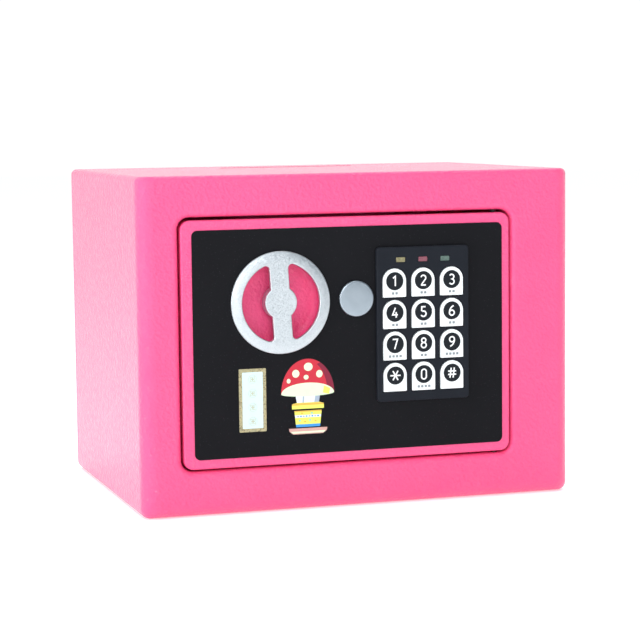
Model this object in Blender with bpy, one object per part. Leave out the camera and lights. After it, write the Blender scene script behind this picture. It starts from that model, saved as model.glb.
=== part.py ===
"""A toy safe coin bank: a sheet-steel cabinet with a keypad door, modelled piece by piece.

Frame: +X right seen from the front, +Y into the safe, +Z up, origin at the centre of the base.
Sizes in this file are in millimetres; add_part() turns them into Blender's metres.
At rest the door is shut, its bolts are drawn in and nothing is pressed.
Run it with: blender --background --python part.py
"""

import math

import bmesh
import bpy
from mathutils import Vector

MM = 0.001

# Cabinet
WIDTH = 230.0
DEPTH = 170.0
HEIGHT = 170.0
FRONT = -DEPTH / 2
BACK = DEPTH / 2
SHEET = 1.2
SIDE_BEND = 8.0  # where the side walls turn into the front
EDGE_BEND = 2.0  # where the top turns into the front
LONG_BEND = 3.0  # the two upper edges that run from front to back
BASE_BEND = 7.0  # where the base turns into the front
BASE_SIDE_BEND = 4.5  # where the base turns into the sides
BACK_BEND = 3.0
BACK_FLANGE = 12.0
BACK_FLANGE_CORNER = 6.0
PANEL_LOWER_CORNER = 3.0  # keeps the back panel clear of the bend at the base
COIN_SLOT_SIZE = (78.0, 8.0)
COIN_SLOT_Y = BACK - 40.0

# Doorway: left, right, bottom, top
DOORWAY = (-95.0, 81.5, 23.0, 149.5)
DOORWAY_CORNER = 6.0
LIP = 3.0
LIP_FLANGE_END = FRONT + 10.0

# Door
DOOR_GAP = 1.0
DOOR_TOP_GAP = 1.5
DOOR_PLATE = 3.0
DOOR_RIM = 2.0
DOOR_DEPTH = 10.0
DOOR_EDGE = 1.0
HINGE = (73.0, FRONT + 4.0)  # X and Y of the hinge line
HINGE_PIN_RADIUS = 1.5
HINGE_HOLE_RADIUS = 1.8

# Front overlay and what is stuck on it
OVERLAY = (-88.5, 76.2, 28.8, 143.0)
OVERLAY_CORNER = 3.0
OVERLAY_BACK = FRONT - 0.05
OVERLAY_FRONT = FRONT - 0.45
STICKER_BACK = OVERLAY_FRONT - 0.05
STICKER_FRONT = OVERLAY_FRONT - 0.2
NAME_STICKER = (-65.5, -51.4, 41.6, 73.4)
TOADSTOOL_CENTRE_X = -29.6

# Handwheel in its dish
KNOB = (-43.4, 106.0)
DISH_RADIUS = 22.0
DISH_DEPTH = 8.0
DISH_FILLET = 3.0
DISH_SHEET = 1.2
WHEEL_RADIUS = 25.8
WHEEL_HOLE_RADIUS = 20.2
WHEEL_FRONT = FRONT - 2.6
WHEEL_BACK = FRONT - 0.6
WHEEL_BAR = 9.8
WHEEL_HUB_RADIUS = 8.3
WHEEL_HUB_DEPTH = 6.4
WHEEL_NECK_RADIUS = 5.5
WHEEL_TILT = -3.3  # degrees about +Y: the bar leans a little to the left
SPINDLE_RADIUS = 3.5
LEVER_FRONT = FRONT + DISH_DEPTH + DISH_SHEET + 0.6
LEVER_BACK = LEVER_FRONT + 2.2

# Bolt work behind the dish
CRANK = 8.5
TRAVEL = 2 * CRANK * math.sin(math.radians(45.0))
CRANK_PIN_RADIUS = 2.0
CARRIAGE_FRONT = -71.0
CARRIAGE_BACK = -69.0
CARRIAGE_LEFT = -69.5
CARRIAGE_RIGHT = -22.0
CARRIAGE_TOP = 132.0
CARRIAGE_BOTTOM = 48.0
CARRIAGE_STEP = (-55.0, 72.0)  # the plate is cut away to the right of and below this corner
BOLT_Y = -65.5
BOLT_RADIUS = 6.0
BOLT_TIP = -93.0
BOLT_HEIGHTS = {"bolt_upper": 117.0, "bolt_lower": 56.0}
GUIDES = {"guide_post_upper": (-60.0, 126.5), "guide_post_lower": (-60.0, 78.0)}
GUIDE_RADIUS = 2.0
PLUNGER = (-40.0, -70.0)  # X and Y
PLUNGER_RADIUS = 2.5
PLUNGER_THROW = 3.0
SOLENOID_LOW = (-52.0, FRONT + DOOR_PLATE + 0.3, 38.0)
SOLENOID_HIGH = (-28.0, -61.0, 62.0)
SPRING_RADIUS = 3.5
SPRING_WIRE = 0.3
SPRING_TURNS = 4

# Emergency lock
LOCK = (-3.6, 106.5)
LOCK_CAP_RADIUS = 9.1
BARREL_RADIUS = 6.0
PLUG_RADIUS = 4.0
PLUG_BACK = -60.0

# Keypad
KEYPAD_X = 32.0
KEYPAD = (KEYPAD_X - 25.0, KEYPAD_X + 25.0, 53.2, 132.0)
KEYPAD_WINDOW = (KEYPAD_X - 23.0, KEYPAD_X + 23.0, 56.0, 129.2)
KEYPAD_CORNER = 2.0
KEYPAD_FRONT = OVERLAY_FRONT - 2.05
KEYPAD_RIM_BACK = FRONT + 3.5
KEY_WIDTH = 12.5
KEY_HEIGHT = 14.6
KEY_FOOT_CORNER = 0.5
KEY_PITCH = (15.45, 16.05)
KEY_TOP_ROW = 121.1  # top of the highest row of keys
KEY_FRONT = KEYPAD_FRONT - 0.4
KEY_BACK = -85.1
KEY_GAP = 0.4
KEY_NAMES = (("1", "2", "3"), ("4", "5", "6"), ("7", "8", "9"), ("star", "0", "hash"))
LED_SIZE = (4.9, 2.5)
LED_PITCH = 12.0
LED_Z = 125.5
LED_NAMES = ("led_yellow", "led_red", "led_green")

# Inside of the door
COVER = (-84.0, 68.0, 33.0, 140.0)
COVER_FRONT = FRONT + DOOR_PLATE + 0.3
COVER_BACK = -48.0
COVER_WALL = 1.5
COVER_CORNER = 4.0
SCREWS = ((-78.0, 38.5), (62.0, 38.5), (62.0, 135.0), (-78.0, 135.5))
HOLDER = (6.0, 62.0, 58.0, 118.0)
HOLDER_FRONT = -66.8
HOLDER_WALL = 1.5
BATTERY_HATCH = (8.0, 60.0, 60.0, 116.0)
BATTERY_RADIUS = 7.0
BATTERY_LENGTH = 50.0
BATTERY_PITCH = 14.25
CONTROL_BOARD = (8.0, 57.0, 37.0, 56.0)
RESET = (51.0, 46.5)
RESET_RADIUS = 4.0
BOARD_BACK = -64.4

ROUND = 32  # sides of an ordinary round piece


# ---------------------------------------------------------------- shapes


def grown(rect, by):
    """The rectangle (left, right, bottom, top) moved outwards by a distance."""
    left, right, bottom, top = rect
    return (left - by, right + by, bottom - by, top + by)


def arc(centre, radius, start, end, steps):
    """Points of an arc, both ends included, from start to end in degrees."""
    turns = [math.radians(start + (end - start) * i / steps) for i in range(steps + 1)]
    return [(centre[0] + radius * math.cos(a), centre[1] + radius * math.sin(a)) for a in turns]


def rounded_rectangle(rect, corner, steps=4, lower=None):
    """A rectangle's outline with round corners, as (x, z) points from the lower right corner.

    lower is the radius of the two lower corners where it isn't the same.
    """
    left, right, bottom, top = rect
    lower = corner if lower is None else lower
    corners = (
        (right - lower, bottom + lower, lower),
        (right - corner, top - corner, corner),
        (left + corner, top - corner, corner),
        (left + lower, bottom + lower, lower),
    )
    points = []
    for turn, (x, z, radius) in enumerate(corners):
        points += arc((x, z), radius, 90 * turn - 90, 90 * turn, steps)
    return points


def at_y(outline, y):
    """An outline of (x, z) points as a loop in the plane of that y."""
    return [(x, y, z) for x, z in outline]


def circle(axis, centre, radius, along, segments=ROUND):
    """A round loop about an axis; centre holds the other two coordinates in X, Y, Z order."""
    place = "XYZ".index(axis)
    loop = []
    for a, b in arc(centre, radius, 0, 360, segments)[:-1]:
        point = [a, b]
        point.insert(place, along)
        loop.append(tuple(point))
    return loop


def skin(loops, closed=False):
    """A mesh through loops of equally many points: capped at its ends, or closed on itself."""
    bm = bmesh.new()
    rings = [[bm.verts.new(point) for point in loop] for loop in loops]
    pairs = list(zip(rings, rings[1:]))
    if closed:
        pairs.append((rings[-1], rings[0]))
    else:
        bm.faces.new(rings[0])
        bm.faces.new(rings[-1])
    for near, far in pairs:
        for i, corner in enumerate(near):
            j = (i + 1) % len(near)
            bm.faces.new((corner, near[j], far[j], far[i]))
    bmesh.ops.recalc_face_normals(bm, faces=bm.faces)
    return bm


def prism(outline, y0, y1):
    """An outline of (x, z) points extruded along Y."""
    return skin([at_y(outline, y0), at_y(outline, y1)])


def turned(axis, centre, profile, segments=ROUND, closed=False):
    """A turned solid from (radius, along) pairs; closed makes a ring with a bore."""
    loops = [circle(axis, centre, radius, along, segments) for radius, along in profile]
    return skin(loops, closed)


def block(low, high):
    """An axis-aligned box between two corners."""
    bottom = [(low[0], low[1]), (high[0], low[1]), (high[0], high[1]), (low[0], high[1])]
    return skin([[(x, y, z) for x, y in bottom] for z in (low[2], high[2])])


def tray(rect, corner, y_open, y_closed, wall, floor, edge):
    """A tray whose walls end at y_open; the outer edge round its floor at y_closed is rounded."""
    inward = 1 if y_open > y_closed else -1
    loops = []
    for step in range(4):
        turn = math.radians(30 * step)
        inset = edge * (1 - math.sin(turn))
        y = y_closed + inward * edge * (1 - math.cos(turn))
        loops.append(at_y(rounded_rectangle(grown(rect, -inset), corner - inset), y))
    inner = rounded_rectangle(grown(rect, -wall), corner - wall)
    loops.append(at_y(rounded_rectangle(rect, corner), y_open))
    loops.append(at_y(inner, y_open))
    loops.append(at_y(inner, y_closed + inward * floor))
    return skin(loops)


# ---------------------------------------------------------------- objects


def make_material(name, colour, roughness, metallic=0.0):
    material = bpy.data.materials.new(name)
    material.use_nodes = True
    shader = material.node_tree.nodes["Principled BSDF"]
    shader.inputs["Base Color"].default_value = (*colour, 1.0)
    shader.inputs["Roughness"].default_value = roughness
    shader.inputs["Metallic"].default_value = metallic
    return material


def add_pivot(name, place, parent=None):
    """An empty on a joint's axis; the pieces that move with the joint are its children."""
    pivot = bpy.data.objects.new(name, None)
    bpy.context.scene.collection.objects.link(pivot)
    return place_child(pivot, place, parent)


def place_child(piece, place, parent):
    """Sets a world position in millimetres under a parent that is itself only moved, not turned."""
    piece["place"] = place
    piece.parent = parent
    offset = Vector(place) - Vector(parent["place"] if parent else (0.0, 0.0, 0.0))
    piece.location = offset * MM
    return piece


def add_part(name, bm, material=None, parent=None):
    """Turns a mesh in world millimetres into a named object whose origin is its parent's."""
    place = tuple(parent["place"]) if parent else (0.0, 0.0, 0.0)
    bmesh.ops.translate(bm, verts=bm.verts, vec=-Vector(place))
    bmesh.ops.scale(bm, verts=bm.verts, vec=(MM, MM, MM))
    mesh = bpy.data.meshes.new(name)
    bm.to_mesh(mesh)
    bm.free()
    mesh.shade_smooth()
    mesh.set_sharp_from_angle(angle=math.radians(35.0))
    piece = bpy.data.objects.new(name, mesh)
    if material:
        mesh.materials.append(material)
    bpy.context.scene.collection.objects.link(piece)
    return place_child(piece, place, parent)


def combine(piece, bm, operation):
    """Joins a shape to a part or cuts it out of it; the shape stays as a hidden helper."""
    number = len(piece.modifiers) + 1
    helper = add_part(f"{piece.name}_helper_{number}", bm)
    helper.hide_render = True
    helper.display_type = "WIRE"
    boolean = piece.modifiers.new(f"boolean_{number}", "BOOLEAN")
    boolean.object = helper
    boolean.operation = operation
    boolean.solver = "EXACT"


def cut(piece, bm):
    combine(piece, bm, "DIFFERENCE")


def join(piece, bm):
    combine(piece, bm, "UNION")


# ---------------------------------------------------------------- cabinet


def bend_inset(radius, behind):
    """How far a bend has drawn in at a distance behind its front face."""
    short = max(0.0, radius - behind)
    return radius - math.sqrt(radius**2 - short**2)


def cabinet_skin(offset):
    """Loops over one side of the sheet, from the back flange's edge to the doorway flange's end."""
    outside = (-WIDTH / 2, WIDTH / 2, 0.0, HEIGHT)
    corner = LONG_BEND - offset
    lower = BASE_SIDE_BEND - offset
    edge = rounded_rectangle(grown(outside, -BACK_FLANGE), BACK_FLANGE_CORNER)
    loops = [at_y(edge, BACK - offset)]

    bend = BACK_BEND - offset
    for step in range(4):
        turn = math.radians(30 * step)
        inset = offset + bend * (1 - math.sin(turn))
        outline = rounded_rectangle(grown(outside, -inset), corner, lower=lower)
        loops.append(at_y(outline, BACK - offset - bend * (1 - math.cos(turn))))

    side = SIDE_BEND - offset
    for step in range(7):
        turn = math.radians(15 * step)
        inset_x = offset + side * (1 - math.cos(turn))
        y = FRONT + SIDE_BEND - side * math.sin(turn)
        bottom = offset + bend_inset(BASE_BEND - offset, y - FRONT - offset)
        top = HEIGHT - offset - bend_inset(EDGE_BEND - offset, y - FRONT - offset)
        rect = (outside[0] + inset_x, outside[1] - inset_x, bottom, top)
        loops.append(at_y(rounded_rectangle(rect, corner, lower=lower), y))

    roll = LIP - offset
    for step in range(4):
        turn = math.radians(30 * step)
        out = LIP - roll * math.sin(turn)
        outline = rounded_rectangle(grown(DOORWAY, out), DOORWAY_CORNER + out)
        loops.append(at_y(outline, FRONT + LIP - roll * math.cos(turn)))
    outline = rounded_rectangle(grown(DOORWAY, offset), DOORWAY_CORNER + offset)
    loops.append(at_y(outline, LIP_FLANGE_END))
    return loops


def make_cabinet(paint):
    loops = cabinet_skin(0.0) + cabinet_skin(SHEET)[::-1]
    body = add_part("cabinet_body", skin(loops, closed=True), paint)
    length, width = COIN_SLOT_SIZE
    slot = rounded_rectangle((-length / 2, length / 2, -width / 2, width / 2), width / 2 - 0.5)
    slot_loops = [[(x, COIN_SLOT_Y + y, z) for x, y in slot] for z in (HEIGHT - 5, HEIGHT + 5)]
    cut(body, skin(slot_loops))
    for z in (DOORWAY[2], DOORWAY[3]):
        cut(body, turned("Z", HINGE, [(HINGE_HOLE_RADIUS, z - 3.5), (HINGE_HOLE_RADIUS, z + 3.5)], 16))

    inset = BACK_BEND + 0.3
    panel = (-WIDTH / 2 + inset, WIDTH / 2 - inset, inset, HEIGHT - inset)
    panel_back = BACK - SHEET - 0.05
    outline = rounded_rectangle(panel, 1.5, lower=PANEL_LOWER_CORNER)
    add_part("back_panel", prism(outline, panel_back - SHEET, panel_back), paint)


# ---------------------------------------------------------------- door


def make_door(paint, steel, door):
    left, right, bottom, top = grown(DOORWAY, -DOOR_GAP)
    rect = (left, right, bottom, top + DOOR_GAP - DOOR_TOP_GAP)
    corner = DOORWAY_CORNER - DOOR_GAP
    shape = tray(rect, corner, FRONT + DOOR_DEPTH, FRONT, DOOR_RIM, DOOR_PLATE, DOOR_EDGE)
    plate = add_part("door_plate", shape, paint, door)
    join(plate, dish_back())
    cut(plate, dish_hollow())
    hole = DISH_DEPTH + DISH_SHEET + 1.0
    cut(plate, round_y(KNOB, SPINDLE_RADIUS + 0.5, FRONT + DISH_DEPTH - 1.0, FRONT + hole))
    cut(plate, round_y(LOCK, BARREL_RADIUS + 0.3, FRONT - 1.0, FRONT + DOOR_PLATE + 1.0))
    cut(plate, keypad_window())

    for name, low, high in (
        ("hinge_pin_top", rect[3] + 0.05, rect[3] + 3.5),
        ("hinge_pin_bottom", rect[2] - 3.5, rect[2] - 0.05),
    ):
        profile = [(HINGE_PIN_RADIUS, low), (HINGE_PIN_RADIUS, high)]
        add_part(name, turned("Z", HINGE, profile, 16), steel, door)


def round_y(centre, radius, y0, y1, segments=ROUND):
    return turned("Y", centre, [(radius, y0), (radius, y1)], segments)


def dish_back():
    """The back of the pressed dish behind the handwheel, which stands out of the plate."""
    radius = DISH_RADIUS + DISH_SHEET
    return round_y(KNOB, radius, FRONT + DOOR_PLATE - 0.5, FRONT + DISH_DEPTH + DISH_SHEET, 40)


def dish_hollow():
    """The inside of the dish: a soft rim, a straight wall and a filleted floor."""
    profile = [(DISH_RADIUS + 1.0, FRONT - 1.0), (DISH_RADIUS + 1.0, FRONT)]
    profile += [(DISH_RADIUS + 0.3, FRONT + 0.3), (DISH_RADIUS, FRONT + 1.0)]
    for step in range(4):
        turn = math.radians(30 * step)
        radius = DISH_RADIUS - DISH_FILLET * (1 - math.cos(turn))
        profile.append((radius, FRONT + DISH_DEPTH - DISH_FILLET * (1 - math.sin(turn))))
    return turned("Y", KNOB, profile, 40)


def keypad_window():
    return prism(rounded_rectangle(KEYPAD_WINDOW, 1.0, 2), FRONT - 2.0, FRONT + DOOR_PLATE + 1.0)


def toadstool_outline():
    """A potted toadstool: a drooping cap, a stout stem, a pot and its saucer, as one outline."""
    cap = [(14.5 * x, 59.5 + 18.0 * z) for x, z in arc((0.0, 0.0), 1.0, 0, 180, 16)]
    left = [(-13.6, 58.4), (-7.4, 60.6), (-6.4, 55.4), (-8.8, 54.6), (-8.8, 51.4), (-7.6, 50.8)]
    left += [(-6.6, 43.0), (-10.6, 42.4), (-10.2, 40.4), (-8.2, 38.6)]
    right = [(-x, z) for x, z in reversed(left)]
    return [(TOADSTOOL_CENTRE_X + x, z) for x, z in cap + left + right]


def make_overlay(film, gold, print_film, door):
    outline = rounded_rectangle(OVERLAY, OVERLAY_CORNER, 3)
    overlay = add_part("front_overlay", prism(outline, OVERLAY_FRONT, OVERLAY_BACK), film, door)
    cut(overlay, round_y(KNOB, DISH_RADIUS + 1.3, FRONT - 1.0, FRONT + 1.0, 40))
    cut(overlay, round_y(LOCK, BARREL_RADIUS + 0.3, FRONT - 1.0, FRONT + 1.0))
    cut(overlay, keypad_window())

    outline = rounded_rectangle(NAME_STICKER, 0.8, 2)
    add_part("name_sticker", prism(outline, STICKER_FRONT, STICKER_BACK), gold, door)
    outline = toadstool_outline()
    add_part("picture_sticker", prism(outline, STICKER_FRONT, STICKER_BACK), print_film, door)


# ---------------------------------------------------------------- handwheel and bolt work


def wheel_hole(side):
    """One D-shaped finger hole of the handwheel; side is 1 for the right one and -1 for the left."""
    fillet = 2.0
    edge = WHEEL_BAR / 2
    height = math.sqrt((WHEEL_HOLE_RADIUS - fillet) ** 2 - (edge + fillet) ** 2)
    reach = math.degrees(math.atan2(height, edge + fillet))
    outline = arc((edge + fillet, -height), fillet, -180, -reach, 3)
    outline += arc((0.0, 0.0), WHEEL_HOLE_RADIUS, -reach, reach, 12)[1:-1]
    outline += arc((edge + fillet, height), fillet, reach, 180, 3)
    turn = math.radians(WHEEL_TILT)
    points = []
    for x, z in outline:
        x *= side
        across = x * math.cos(turn) + z * math.sin(turn)
        up = z * math.cos(turn) - x * math.sin(turn)
        points.append((KNOB[0] + across, KNOB[1] + up))
    return prism(points, WHEEL_FRONT - 1.0, WHEEL_BACK + 1.0)


def make_handwheel(silver, steel, wheel):
    profile = [
        (WHEEL_RADIUS - 0.8, WHEEL_FRONT),
        (WHEEL_RADIUS - 0.2, WHEEL_FRONT + 0.3),
        (WHEEL_RADIUS, WHEEL_FRONT + 0.9),
        (WHEEL_RADIUS, WHEEL_BACK - 0.3),
        (WHEEL_RADIUS - 0.3, WHEEL_BACK),
    ]
    handwheel = add_part("handwheel", turned("Y", KNOB, profile, 48), silver, wheel)
    for side in (1, -1):
        cut(handwheel, wheel_hole(side))
    dish_floor = FRONT + DISH_DEPTH
    neck = WHEEL_FRONT + WHEEL_HUB_DEPTH
    profile = [
        (WHEEL_HUB_RADIUS, WHEEL_FRONT + 0.2),
        (WHEEL_HUB_RADIUS, neck),
        (WHEEL_NECK_RADIUS, neck),
        (WHEEL_NECK_RADIUS, dish_floor - 0.3),
    ]
    join(handwheel, turned("Y", KNOB, profile))

    spindle = round_y(KNOB, SPINDLE_RADIUS, dish_floor - 0.2, LEVER_BACK, 24)
    add_part("knob_spindle", spindle, steel, wheel)

    pin = (KNOB[0] + TRAVEL / 2, KNOB[1] + TRAVEL / 2)
    outline = arc(KNOB, 7.0, 135, 315, 10) + arc(pin, 3.5, -45, 135, 8)
    lever = add_part("cam_lever", prism(outline, LEVER_FRONT, LEVER_BACK), steel, wheel)
    cut(lever, round_y(KNOB, SPINDLE_RADIUS + 0.1, LEVER_FRONT - 1.0, LEVER_BACK + 1.0, 24))
    join(lever, round_y(pin, CRANK_PIN_RADIUS, LEVER_BACK - 0.5, CARRIAGE_BACK + 0.8, 20))


def slot_outline(x0, x1, z0, z1, radius):
    """A slot with round ends, given where the centre of a pin of that radius may be."""
    return rounded_rectangle((x0 - radius, x1 + radius, z0 - radius, z1 + radius), radius - 0.01)


def make_bolt_work(steel, door, carriage):
    """Carriage and bolts at rest are drawn in; they lock by moving TRAVEL towards -X."""
    step_x, step_z = CARRIAGE_STEP
    outline = [
        (CARRIAGE_LEFT, CARRIAGE_BOTTOM),
        (step_x, CARRIAGE_BOTTOM),
        (step_x, step_z),
        (CARRIAGE_RIGHT, step_z),
        (CARRIAGE_RIGHT, CARRIAGE_TOP),
        (CARRIAGE_LEFT, CARRIAGE_TOP),
    ]
    plate = add_part("bolt_carriage", prism(outline, CARRIAGE_FRONT, CARRIAGE_BACK), steel, carriage)
    flange_right = CARRIAGE_LEFT + 2.0
    join(plate, block(
        (CARRIAGE_LEFT, CARRIAGE_BACK - 1.0, CARRIAGE_BOTTOM),
        (flange_right, BOLT_Y + BOLT_RADIUS + 1.0, CARRIAGE_TOP),
    ))
    through = (CARRIAGE_FRONT - 1.0, CARRIAGE_BACK + 1.0)
    pin_x = KNOB[0] + TRAVEL / 2
    lowest, highest = KNOB[1] + TRAVEL / 2, KNOB[1] + CRANK
    crank_slot = slot_outline(pin_x, pin_x, lowest, highest, CRANK_PIN_RADIUS + 0.6)
    cut(plate, prism(crank_slot, *through))
    for x, z in GUIDES.values():
        cut(plate, prism(slot_outline(x, x + TRAVEL, z, z, GUIDE_RADIUS + 0.4), *through))
    for x in (PLUNGER[0], PLUNGER[0] + TRAVEL):
        notch = (x - PLUNGER_RADIUS - 0.7, x + PLUNGER_RADIUS + 0.7, step_z - 1.0, step_z + 4.0)
        cut(plate, prism(rounded_rectangle(notch, 0.8, 2), *through))

    for name, z in BOLT_HEIGHTS.items():
        profile = [
            (BOLT_RADIUS - 1.2, BOLT_TIP),
            (BOLT_RADIUS, BOLT_TIP + 1.2),
            (BOLT_RADIUS, CARRIAGE_LEFT - 0.05),
        ]
        add_part(name, turned("X", (BOLT_Y, z), profile, 24), steel, carriage)

    for name, centre in GUIDES.items():
        profile = [
            (GUIDE_RADIUS, COVER_FRONT),
            (GUIDE_RADIUS, CARRIAGE_BACK + 0.3),
            (GUIDE_RADIUS + 2.0, CARRIAGE_BACK + 0.3),
            (GUIDE_RADIUS + 2.0, CARRIAGE_BACK + 1.8),
        ]
        add_part(name, turned("Y", centre, profile, 20), steel, door)


def make_solenoid(steel, dark, door, plunger):
    body = add_part("solenoid_body", block(SOLENOID_LOW, SOLENOID_HIGH), dark, door)
    top = SOLENOID_HIGH[2]
    bore = PLUNGER_RADIUS + 0.3
    cut(body, turned("Z", PLUNGER, [(bore, top - 20.0), (bore, top + 1.0)], 24))

    collar = (top + 4.5, top + 5.7)
    tip = CARRIAGE_STEP[1] - 0.6
    profile = [
        (PLUNGER_RADIUS, top - 18.0),
        (PLUNGER_RADIUS, collar[0]),
        (SPRING_RADIUS + 0.8, collar[0]),
        (SPRING_RADIUS + 0.8, collar[1]),
        (PLUNGER_RADIUS, collar[1]),
        (PLUNGER_RADIUS, tip - 0.5),
        (PLUNGER_RADIUS - 0.5, tip),
    ]
    add_part("solenoid_plunger", turned("Z", PLUNGER, profile, 24), steel, plunger)

    add_part("plunger_spring", coil(top + 0.2, collar[0] - 0.2), steel, door)


def coil(low, high):
    """An open coil of round wire standing on Z about the plunger."""
    per_turn = 14
    steps = SPRING_TURNS * per_turn
    first = low + SPRING_WIRE
    rise = high - SPRING_WIRE - first
    loops = []
    for i in range(steps + 1):
        turn = 2 * math.pi * i / per_turn
        outward = Vector((math.cos(turn), math.sin(turn), 0.0))
        centre = Vector((*PLUNGER, first + rise * i / steps)) + outward * SPRING_RADIUS
        ring = arc((0.0, 0.0), SPRING_WIRE, 0, 360, 6)[:-1]
        loops.append([centre + outward * a + Vector((0.0, 0.0, b)) for a, b in ring])
    return skin(loops)


# ---------------------------------------------------------------- emergency lock


def make_lock(silver, brass, steel, door, cap, plug):
    skirt = OVERLAY_FRONT - 0.1
    top = OVERLAY_FRONT - 2.1
    inside = LOCK_CAP_RADIUS - 0.7
    profile = [
        (inside, top + 0.9),
        (inside, skirt),
        (LOCK_CAP_RADIUS, skirt),
        (LOCK_CAP_RADIUS, top + 0.9),
        (LOCK_CAP_RADIUS - 0.5, top + 0.35),
        (LOCK_CAP_RADIUS - 1.5, top + 0.15),
        (LOCK_CAP_RADIUS - 5.0, top),
    ]
    add_part("override_cap", turned("Y", LOCK, profile), silver, cap)

    barrel_front = top + 1.1
    profile = [
        (PLUG_RADIUS + 0.3, barrel_front),
        (BARREL_RADIUS + 2.0, barrel_front),
        (BARREL_RADIUS + 2.0, OVERLAY_FRONT - 0.1),
        (BARREL_RADIUS, OVERLAY_FRONT - 0.1),
        (BARREL_RADIUS, PLUG_BACK - 2.0),
        (PLUG_RADIUS + 0.3, PLUG_BACK - 2.0),
    ]
    add_part("lock_barrel", turned("Y", LOCK, profile, closed=True), steel, door)

    core = round_y(LOCK, PLUG_RADIUS, barrel_front + 0.1, PLUG_BACK, 24)
    core = add_part("lock_plug", core, brass, plug)
    keyway = (LOCK[0] - 0.6, LOCK[0] + 0.6, LOCK[1] - 2.5, LOCK[1] + 2.5)
    cut(core, prism(rounded_rectangle(keyway, 0.3, 1), barrel_front - 1.0, barrel_front + 12.0))

    outline = arc(LOCK, 4.0, 0, 180, 8) + arc((LOCK[0], LOCK[1] - 11.0), 3.0, 180, 360, 8)
    add_part("lock_cam", prism(outline, PLUG_BACK + 0.05, PLUG_BACK + 1.8), steel, plug)


# ---------------------------------------------------------------- keypad


def arch(centre_x, top, by=0.0):
    """A key's outline, grown by a distance: a half circle on top and a flat foot."""
    radius = KEY_WIDTH / 2
    outline = arc((centre_x, top - radius), radius + by, 0, 180, 12)
    foot = top - KEY_HEIGHT - by
    corner = KEY_FOOT_CORNER
    outline += arc((centre_x - radius + corner, foot + corner + by), corner + by, 180, 270, 2)
    outline += arc((centre_x + radius - corner, foot + corner + by), corner + by, 270, 360, 2)
    return outline


def key_places():
    """Each key's name with its centre line and the height of its top."""
    for row, names in enumerate(KEY_NAMES):
        for column, name in enumerate(names):
            x = KEYPAD_X + (column - 1) * KEY_PITCH[0]
            yield f"key_{name}", x, KEY_TOP_ROW - row * KEY_PITCH[1]


def led_rects():
    width, height = LED_SIZE
    for i, name in enumerate(LED_NAMES):
        x = KEYPAD_X + (i - 1) * LED_PITCH
        yield name, (x - width / 2, x + width / 2, LED_Z - height / 2, LED_Z + height / 2)


def make_keypad(plastic, white, rubber, board, lenses, door):
    edge = 0.7
    loops = [
        at_y(rounded_rectangle(grown(KEYPAD, -edge), KEYPAD_CORNER - edge, 3), KEYPAD_FRONT),
        at_y(rounded_rectangle(grown(KEYPAD, -0.2), KEYPAD_CORNER - 0.2, 3), KEYPAD_FRONT + 0.3),
        at_y(rounded_rectangle(KEYPAD, KEYPAD_CORNER, 3), KEYPAD_FRONT + edge),
        at_y(rounded_rectangle(KEYPAD, KEYPAD_CORNER, 3), OVERLAY_FRONT - 0.05),
    ]
    rim = grown(KEYPAD_WINDOW, -0.3)
    loops.append(at_y(rounded_rectangle(rim, 1.0, 3), OVERLAY_FRONT - 0.05))
    loops.append(at_y(rounded_rectangle(rim, 1.0, 3), KEYPAD_RIM_BACK))
    inner = rounded_rectangle(grown(rim, -1.2), 0.6, 3)
    loops.append(at_y(inner, KEYPAD_RIM_BACK))
    loops.append(at_y(inner, OVERLAY_FRONT - 0.1))
    housing = add_part("keypad_housing", skin(loops), plastic, door)
    through = (KEYPAD_FRONT - 1.0, KEY_BACK + 0.8)
    for name, x, top in key_places():
        cut(housing, prism(arch(x, top, KEY_GAP), *through))
        pivot = add_pivot(f"{name}_pivot", (x, KEY_FRONT, top - KEY_HEIGHT / 2), door)
        crown = [at_y(arch(x, top, -0.4), KEY_FRONT), at_y(arch(x, top), KEY_FRONT + 0.4)]
        add_part(name, skin(crown + [at_y(arch(x, top), KEY_BACK)]), white, pivot)
    for name, rect in led_rects():
        cut(housing, prism(rounded_rectangle(grown(rect, 0.1), 0.6, 2), *through))
        lens = prism(rounded_rectangle(rect, 0.5, 2), KEYPAD_FRONT + 0.05, OVERLAY_FRONT - 0.15)
        add_part(name, lens, lenses[name], door)

    sheet = rounded_rectangle(grown(rim, -1.6), 0.5, 2)
    add_part("key_mat", prism(sheet, FRONT + 0.6, FRONT + 1.4), rubber, door)
    add_part("keypad_board", prism(sheet, FRONT + 1.6, FRONT + 3.2), board, door)


# ---------------------------------------------------------------- inside of the door


def make_cover(plastic, steel, door):
    shape = tray(COVER, COVER_CORNER, COVER_FRONT, COVER_BACK, COVER_WALL, COVER_WALL, 1.0)
    cover = add_part("inner_cover", shape, plastic, door)
    for z in BOLT_HEIGHTS.values():
        hole = BOLT_RADIUS + 0.4
        ends = [(hole, COVER[0] - 2.0), (hole, COVER[0] + COVER_WALL + 2.0)]
        cut(cover, turned("X", (BOLT_Y, z), ends, 24))
    through = (COVER_BACK - COVER_WALL - 1.0, COVER_BACK + 1.0)
    cut(cover, prism(rounded_rectangle(BATTERY_HATCH, 2.0, 2), *through))
    cut(cover, round_y(RESET, RESET_RADIUS + 0.3, *through, 20))
    for number, centre in enumerate(SCREWS, 1):
        cut(cover, round_y(centre, 2.1, *through, 16))
        profile = [
            (1.8, COVER_FRONT),
            (1.8, COVER_BACK + 0.05),
            (3.4, COVER_BACK + 0.05),
            (3.4, COVER_BACK + 1.0),
            (2.4, COVER_BACK + 1.6),
        ]
        add_part(f"cover_screw_{number}", turned("Y", centre, profile, 16), steel, door)


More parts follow.
